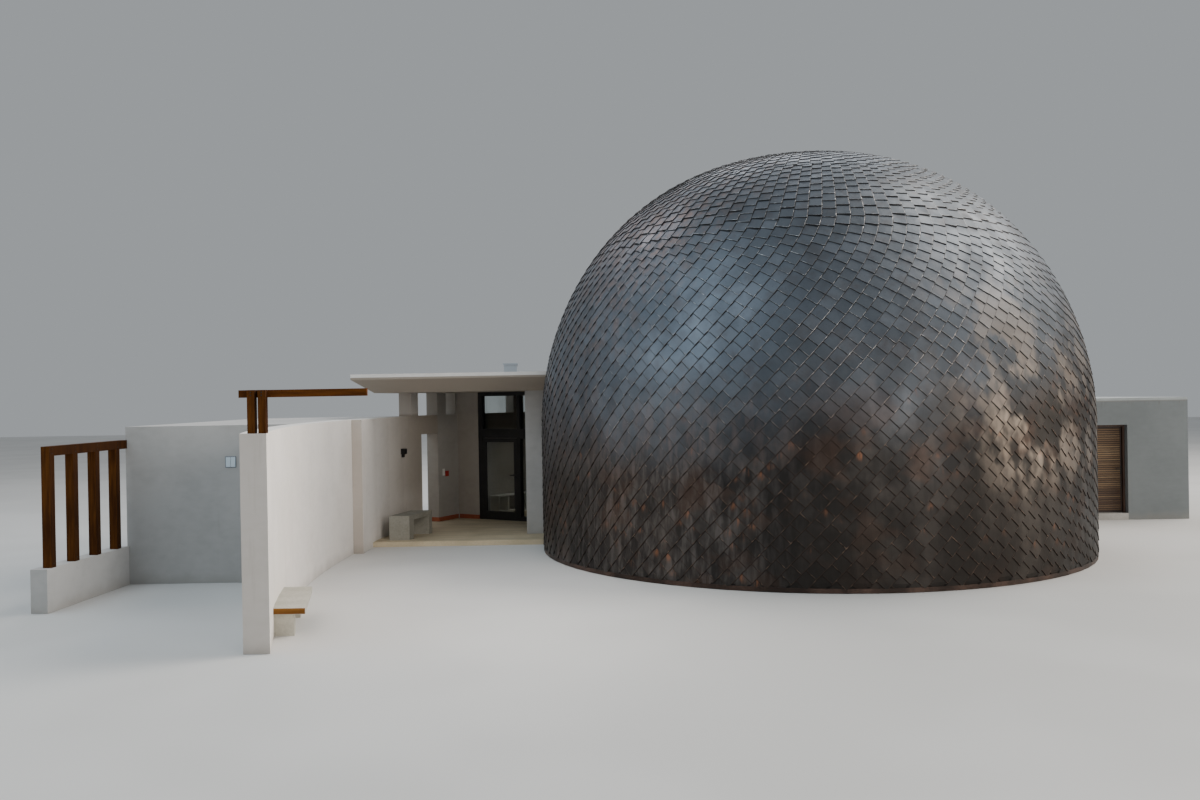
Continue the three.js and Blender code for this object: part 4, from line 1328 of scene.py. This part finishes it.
@dataclass
class PorchAndLobby:
    """The porch, the lobby ring, their roof and what is fixed to them."""

    ring: float = 8.80
    floor: float = 0.10
    skirting_height: float = 0.10
    skirting_depth: float = 0.012
    roof_top: float = 3.54
    roof_edge: float = 9.50
    roof_inner: float = 5.30
    screen_angle: float = 149.2
    passage_angle: float = 154.8
    skirting_span: tuple[float, float] = (154.78, 149.75)
    upstand_span: tuple[float, float] = (76, 170.0)
    drip_span: tuple[float, float] = (72.5, 148.6)
    bead: float = 0.016
    panes: tuple[tuple[float, float, float, float], ...] = (
        (-8.05, -7.03, 2.26, 3.075), (-6.95, -6.15, 2.26, 3.075), (-6.09, -5.32, 2.26, 3.075),
        (-6.95, -6.15, 0.20, 2.06), (-6.09, -5.32, 0.20, 2.06))
    leaf_pane: tuple[float, float, float, float] = (-7.964, -7.116, 0.29, 1.974)
    leaf_faces: tuple[float, float] = (-0.05, -0.005)
    lock_line: float = -7.081

    def _skirting(self, shop: Workshop, palette: Palette) -> None:
        """Terracotta skirting along the side wall and the stub wall.

        Args:
            shop: Makes the pieces.
            palette: The finishes.
        """
        mesh = bmesh.new()
        low, high = self.floor + 0.0005, self.floor + self.skirting_height
        sections = []
        for angle in spread(*self.skirting_span, 0.6):
            near = facet_radius(self.ring, angle) - 0.001
            far = near - self.skirting_depth
            sections.append([polar(near, angle, low), polar(near, angle, high),
                             polar(far, angle, high - 0.004), polar(far, angle, low)])
        swept(mesh, sections)
        stub = turned_about_axis(self.screen_angle)
        block(mesh, (-8.765, -0.074, low), (-8.165, -0.061, high), stub, 0.002)
        block(mesh, (-8.184, -0.061, low), (-8.166, -0.052, high), stub, 0.002)
        block(mesh, (-self.ring - 0.305, -self.skirting_depth - 0.0008, low),
              (-self.ring + 0.012, -0.0008, high), turned_about_axis(self.passage_angle), 0.002)
        shop.add("red_skirting", mesh, [palette.terracotta], Slot.CONCRETE)

    def _wall_fittings(self, shop: Workshop, palette: Palette) -> None:
        """The red call point and the white switch on the side wall.

        Args:
            shop: Makes the pieces.
            palette: The finishes.
        """
        for name, angle, width, height, top, depth, finish, slot in (
                ("call_point", 152.75, 0.10, 0.13, 1.285, 0.04, palette.red, Slot.BOARD),
                ("light_switch", 153.5, 0.085, 0.16, 1.34, 0.016, palette.switch, Slot.BOARD)):
            mesh = bmesh.new()
            past = facet_offset(angle)
            turn = turned_about_axis(angle - past)
            near = self.ring * math.cos(math.radians(FACET / 2))
            y = -facet_radius(self.ring, angle) * math.sin(math.radians(past))
            block(mesh, (-near + 0.0005, y - width / 2, top - height),
                  (-near + depth, y + width / 2, top), turn, 0.004)
            block(mesh, (-near + depth, y - width * 0.3, top - height * 0.72),
                  (-near + depth + 0.004, y + width * 0.3, top - height * 0.28), turn, 0.0015)
            shop.add(name, mesh, [finish], slot)

    def _roof_trim(self, shop: Workshop, palette: Palette) -> None:
        """The upstand where the roof meets the dome, and the drip line along its edge.

        Args:
            shop: Makes the pieces.
            palette: The finishes.
        """
        mesh = bmesh.new()
        sections = []
        for angle in spread(*self.upstand_span, FACET / 4):
            sections.append([
                polar(5.205, angle, self.roof_top),
                polar(self.roof_inner + 0.02, angle, self.roof_top),
                polar(self.roof_inner + 0.02, angle, self.roof_top + 0.006),
                polar(self.roof_inner - 0.06, angle, self.roof_top + 0.010),
                polar(self.roof_inner - 0.085, angle, self.roof_top + 0.040),
                polar(5.12, angle, self.roof_top + 0.055)])
        swept(mesh, sections)
        shop.add("roof_upstand", mesh, [palette.flashing], Slot.COPPER)

        drip = bmesh.new()
        sections = []
        for angle in spread(*self.drip_span, 1.0):
            edge = facet_radius(self.roof_edge, angle)
            sections.append([
                polar(edge - 0.10, angle, self.roof_top),
                polar(edge - 0.10, angle, self.roof_top + 0.012),
                polar(edge - 0.004, angle, self.roof_top + 0.016),
                polar(edge - 0.002, angle, self.roof_top)])
        swept(drip, sections)
        shop.add("roof_edge_trim", drip, [palette.zinc], Slot.BOARD)

    def _screen_details(self, shop: Workshop, palette: Palette) -> None:
        """Glazing beads, the threshold and the round plates of the door's lever and lock.

        Args:
            shop: Makes the pieces.
            palette: The finishes.
        """
        turn = turned_about_axis(self.screen_angle)
        mesh = bmesh.new()
        for pane in self.panes:
            beads(mesh, pane, (-0.03, 0.048), self.bead, turn)
        block(mesh, (-8.045, -0.045, 0.1003), (-7.035, 0.045, 0.108), turn, 0.002)
        shop.add("screen_beads", mesh, [palette.black], Slot.BLACK)

        leaf = bmesh.new()
        for depths in ((-0.051, -0.034), (-0.019, -0.0035)):
            beads(leaf, self.leaf_pane, depths, self.bead, turn)
        for side, face in zip((-1, 1), self.leaf_faces):
            for height, radius in ((1.18, 0.027), (1.06, 0.022)):
                rod(leaf, (self.lock_line, face, height),
                    (self.lock_line, face + side * 0.008, height), radius, 24, 0.002, turn)
        shop.add("entrance_leaf_details", leaf, [palette.black], Slot.BLACK, Body.ENTRANCE)

    def build(self, shop: Workshop, palette: Palette) -> None:
        """Dress the porch and the lobby.

        Args:
            shop: Makes the pieces.
            palette: The finishes.
        """
        shop.dress("ring_approach_wall", palette.ring_wall, 0.005)
        for node in ("lobby_side_wall", "lobby_ring_wall_1", "lobby_ring_wall_2", "lobby_end_wall",
                     "screen_stub_wall"):
            shop.dress(node, palette.porch_wall, 0.005)
        shop.dress("dome_fin", palette.wall, 0.005)
        shop.dress("passage_lintel", palette.ring_wall, 0.005)
        for node in ("porch_roof", "lobby_roof"):
            shop.dress(node, palette.roof, 0.006)
        shop.dress("hall_floor", palette.floor, 0.004)
        shop.dress("roof_vent", palette.zinc, 0.004)
        for node in ("screen_frame", "entrance_door"):
            shop.dress(node, palette.black, 0.002)
        for node in ("screen_glass", "entrance_door_glass"):
            shop.dress(node, palette.glass, 0.0)
        shop.dress("shoe_bench", palette.white, 0.003)
        shop.dress("wall_lamp", palette.black, 0.003)
        shop.dress("long_bench", palette.bench, 0.006)
        self._skirting(shop, palette)
        self._wall_fittings(shop, palette)
        self._roof_trim(shop, palette)
        self._screen_details(shop, palette)


@dataclass
class Approach:
    """The approach wall, its low bench and the pergola on its near end."""

    post_front: float = -8.23
    post: float = 0.09
    lefts: tuple[float, float] = (-8.31, -8.18)
    top: float = 3.15
    strip_low: Point = (-8.30, -7.428, 0.299)
    strip_high: Point = (-7.898, -7.4242, 0.371)
    bolt_drops: tuple[float, float] = (0.03, 0.065)

    def build(self, shop: Workshop, palette: Palette) -> None:
        """Dress the approach.

        Args:
            shop: Makes the pieces.
            palette: The finishes.
        """
        shop.dress("near_wall", palette.approach, 0.006)
        shop.dress("low_bench", palette.low_bench, 0.008)
        shop.dress("pergola_post_1", palette.post, 0.004)
        shop.dress("pergola_post_2", palette.post, 0.004)
        shop.dress("pergola_beam", palette.beam_x, 0.004)
        strip = bmesh.new()
        block(strip, self.strip_low, self.strip_high, None, 0.001)
        shop.add("bench_end_strip", strip, [palette.strip], Slot.TIMBER)
        self._fixings(shop, palette)

    def _fixings(self, shop: Workshop, palette: Palette) -> None:
        """Bolts of the pergola's posts.

        Args:
            shop: Makes the pieces.
            palette: The finishes.
        """
        mesh = bmesh.new()
        for left in self.lefts:
            middle = left + self.post / 2
            for height in (self.top - drop for drop in self.bolt_drops):
                rod(mesh, (middle, self.post_front - 0.006, height),
                    (middle, self.post_front, height), 0.009, 6, 0.0015)
        shop.add("pergola_fixings", mesh, [palette.bolt], Slot.BLACK)


@dataclass
class ServiceBlock:
    """The flat-roofed service block with the timber screen beside it."""

    left: float = -12.03
    front: float = -3.40
    turn: float = -3.0
    plate: tuple[float, float] = (-10.275, 2.015)
    plate_size: tuple[float, float] = (0.18, 0.187)
    plate_rim: float = 0.011
    bolt_pitch: float = 0.607
    bolt_first: float = -2.12
    bolt_heights: tuple[float, ...] = (2.305, 2.375, 0.70)
    bolt_ends: tuple[tuple[float, float], ...] = ((0.025, 0.031), (-0.111, -0.105))
    posts: int = 4

    def build(self, shop: Workshop, palette: Palette) -> None:
        """Dress the block.

        Args:
            shop: Makes the pieces.
            palette: The finishes.
        """
        for node in ("block_front_wall", "block_side_wall", "block_rear_wall", "block_roof"):
            shop.dress(node, palette.wall, 0.005)
        shop.dress("screen_plinth", palette.wall, 0.006)
        shop.dress("timber_screen", palette.post, 0.005)
        mesh = bmesh.new()
        (x, z), (width, height) = self.plate, self.plate_size
        block(mesh, (x - width / 2, self.front - 0.012, z - height / 2),
              (x + width / 2, self.front - 0.0005, z + height / 2), None, 0.003)
        rim = self.plate_rim
        for low, high in ((x - width / 2 + rim, x - 0.003), (x + 0.003, x + width / 2 - rim)):
            block(mesh, (low, self.front - 0.018, z - height / 2 + rim),
                  (high, self.front - 0.0115, z + height / 2 - rim), None, 0.002, 1)
        shop.add("wall_plate", mesh, [palette.plate, palette.plate_face], Slot.BOARD)
        self._screen_fixings(shop, palette)

    def _screen_fixings(self, shop: Workshop, palette: Palette) -> None:
        """Bolts through the screen's beam and the posts' feet.

        Args:
            shop: Makes the pieces.
            palette: The finishes.
        """
        corner = Matrix.Translation((self.left, self.front, 0))
        place = corner @ Matrix.Rotation(math.radians(self.turn), 4, "Z")
        mesh = bmesh.new()
        for i in range(self.posts):
            middle = self.bolt_first + self.bolt_pitch * i
            for height in self.bolt_heights:
                for start, end in self.bolt_ends:
                    rod(mesh, (start, middle, height), (end, middle, height), 0.010, 6, 0.0015,
                        place)
        shop.add("screen_fixings", mesh, [palette.bolt], Slot.BLACK)


@dataclass
class Annex:
    """The annex on the right with its reeded door."""

    leaf_left: float = 7.031
    leaf_right: float = 7.829
    leaf_base: float = 0.156
    leaf_top: float = 2.109
    leaf_face: float = 2.905
    border: float = 0.030
    recess: float = 0.012
    reed_pitch: float = 0.0495
    reed_depth: float = 0.011
    reed_sides: int = 6
    seed: int = 5

    def build(self, shop: Workshop, palette: Palette) -> None:
        """Dress the annex.

        Args:
            shop: Makes the pieces.
            palette: The finishes.
        """
        for node in ("annex_front_left", "annex_front_right", "annex_lintel", "annex_left_wall",
                     "annex_right_wall", "annex_rear_wall"):
            shop.dress(node, palette.annex_wall, 0.0)
        shop.dress("annex_roof", palette.annex_cap, 0.006)
        shop.dress("annex_floor", palette.hall_screed, 0.004)
        shop.dress("annex_door_frame", palette.door_frame, 0.003)
        shop.dress("annex_door", palette.door_panel, 0.002)
        self._reeds(shop, palette)

    def _reeds(self, shop: Workshop, palette: Palette) -> None:
        """Half-round reeds across the door's recessed panel, and the lever's plate.

        Args:
            shop: Makes the pieces.
            palette: The finishes.
        """
        mesh = bmesh.new()
        inset = self.border + 0.002
        left, right = self.leaf_left + inset, self.leaf_right - inset
        low, high = self.leaf_base + inset, self.leaf_top - inset
        count = round((high - low) / self.reed_pitch)
        pitch = (high - low) / count
        back = self.leaf_face + self.recess - 0.0005
        rng = random.Random(self.seed)
        tone = mesh.faces.layers.float.new("tone")
        for i in range(count):
            middle = low + (i + 0.5) * pitch + rng.uniform(-0.002, 0.002)
            half = pitch * rng.uniform(0.29, 0.36)
            outline = []
            for k in range(self.reed_sides + 1):
                turn = math.pi * k / self.reed_sides
                depth = self.reed_depth * math.sin(turn)
                outline.append((back - depth - 0.0005, middle + half * math.cos(turn)))
            before = len(mesh.faces)
            swept(mesh, [[(x, y, z) for y, z in outline] for x in (left, right)])
            mesh.faces.ensure_lookup_table()
            shade = rng.random()
            for face in mesh.faces[before:]:
                face[tone] = shade
        shop.add("door_reeds", mesh, [palette.reed], Slot.REED, Body.ANNEX)

        lever = bmesh.new()
        x = self.leaf_right - self.border / 2
        plate = self.leaf_face - 0.006
        block(lever, (x - 0.014, plate, 1.03), (x + 0.014, self.leaf_face, 1.21), None, 0.003)
        rod(lever, (x, plate, 1.075), (x, plate - 0.004, 1.075), 0.009, 16, 0.001)
        shop.add("annex_lever_plate", lever, [palette.black], Slot.BLACK, Body.ANNEX)


@dataclass
class Studio:
    """The pale floor, the soft light and the camera at the photograph's viewing angle."""

    eye: Point = (-4.095, -20.33, 3.0)
    photo_width: float = 1200.0
    focal_pixels: float = 1014.0
    horizon_pixels: float = 3.3
    sensor: float = 36.0
    roll: float = -0.017
    floor_size: float = 160.0
    floor_pale: Colour = (0.70, 0.695, 0.685)
    floor_shade: Colour = (0.66, 0.655, 0.645)

    def build(self) -> None:
        """Set the stage."""
        self._floor()
        self._lights()
        self._camera()

    def _floor(self) -> None:
        """A plain pale floor with a whisper of texture."""
        graph = Graph("studio_floor")
        cloud = graph.noise(0.25, 2.0)
        material = graph.surface(
            Base_Color=graph.colour(self.floor_shade, self.floor_pale, cloud.ramp(0.4, 0.6)),
            Roughness=0.9)
        mesh = bmesh.new()
        bmesh.ops.create_grid(mesh, x_segments=1, y_segments=1, size=self.floor_size / 2)
        data = bpy.data.meshes.new("studio_floor")
        mesh.to_mesh(data)
        mesh.free()
        data.materials.append(material)
        floor = bpy.data.objects.new("studio_floor", data)
        floor.location = (0, 0, -0.002)
        bpy.context.scene.collection.objects.link(floor)

    def _area(self, name: str, place: Point, target: Point, size: float, power: float,
              colour: Colour, beam: float = math.pi) -> None:
        """One soft light.

        Args:
            name: Its name.
            place: Where it hangs.
            target: What it faces.
            size: Its diameter.
            power: Its strength in watts.
            colour: Its colour.
            beam: The angle that its beam fills.
        """
        data = bpy.data.lights.new(name, "AREA")
        data.shape = "DISK"
        data.size = size
        data.energy = power
        data.color = colour
        data.spread = beam
        light = bpy.data.objects.new(name, data)
        light.location = place
        light.rotation_mode = "QUATERNION"
        light.rotation_quaternion = (Vector(target) - Vector(place)).to_track_quat("-Z", "Y")
        bpy.context.scene.collection.objects.link(light)

    def _lights(self) -> None:
        """The sky, a key from the upper right and fills."""
        world = bpy.data.worlds.new("soft_sky")
        world.use_nodes = True
        background = world.node_tree.nodes["Background"]
        background.inputs["Color"].default_value = (0.86, 0.91, 0.95, 1.0)
        background.inputs["Strength"].default_value = 0.40
        bpy.context.scene.world = world
        self._area("key_right", (22, 4, 29), (-2, 0, 2), 27.0, 9300, (1.0, 0.93, 0.84))
        self._area("panel_right", (30, -10, 5.5), (0, 0, 3), 12.0, 2900, (1.0, 0.87, 0.72))
        self._area("front_right", (9, -24, 6), (-7, 0, 1.5), 11.0, 1500, (1.0, 0.93, 0.84))
        self._area("lobby_daylight", (-5.5, 4.95, 3.06), (-6.4, 5.8, 0.0), 0.8, 3,
                   (1.0, 0.95, 0.86), math.radians(70))
        self._area("wall_wash", (-3.7, -6.6, 4.8), (-8.3, -6.1, 1.6), 2.2, 140, (1.0, 0.94, 0.87))
        self._area("sky_left", (-21, -10, 24), (-1, 0, 4), 27.0, 3100, (0.72, 0.87, 0.97))
        self._area("rear_top", (2, 16, 21), (0, 0, 4), 14.0, 1300, (0.93, 0.96, 1.0))
        self._area("rear_left", (-15, 16, 25), (-1, 0, 6), 9.0, 800, (1.0, 0.87, 0.84))

    def _camera(self) -> None:
        """The camera, level at 3 m and rolled as little as the photograph is."""
        data = bpy.data.cameras.new("photo_camera")
        data.lens = self.sensor * self.focal_pixels / self.photo_width
        data.sensor_width = self.sensor
        data.clip_end = 500
        camera = bpy.data.objects.new("photo_camera", data)
        camera.matrix_world = (
            Matrix.Translation(self.eye)
            @ Matrix.Rotation(math.radians(90) - self.horizon_pixels / self.focal_pixels, 4, "X")
            @ Matrix.Rotation(self.roll, 4, "Z"))
        bpy.context.scene.collection.objects.link(camera)
        bpy.context.scene.camera = camera


def main() -> None:
    """Dress every part of the building, then light and frame it."""
    logging.basicConfig(level=logging.INFO, format="%(name)s: %(message)s")
    shop, palette = Workshop(), Palette()
    for part in (ShingledDome(), PorchAndLobby(), Approach(), ServiceBlock(), Annex()):
        part.build(shop, palette)
        LOG.info("finished %s", type(part).__name__)
    Studio().build()


if __name__ == "__main__":
    main()
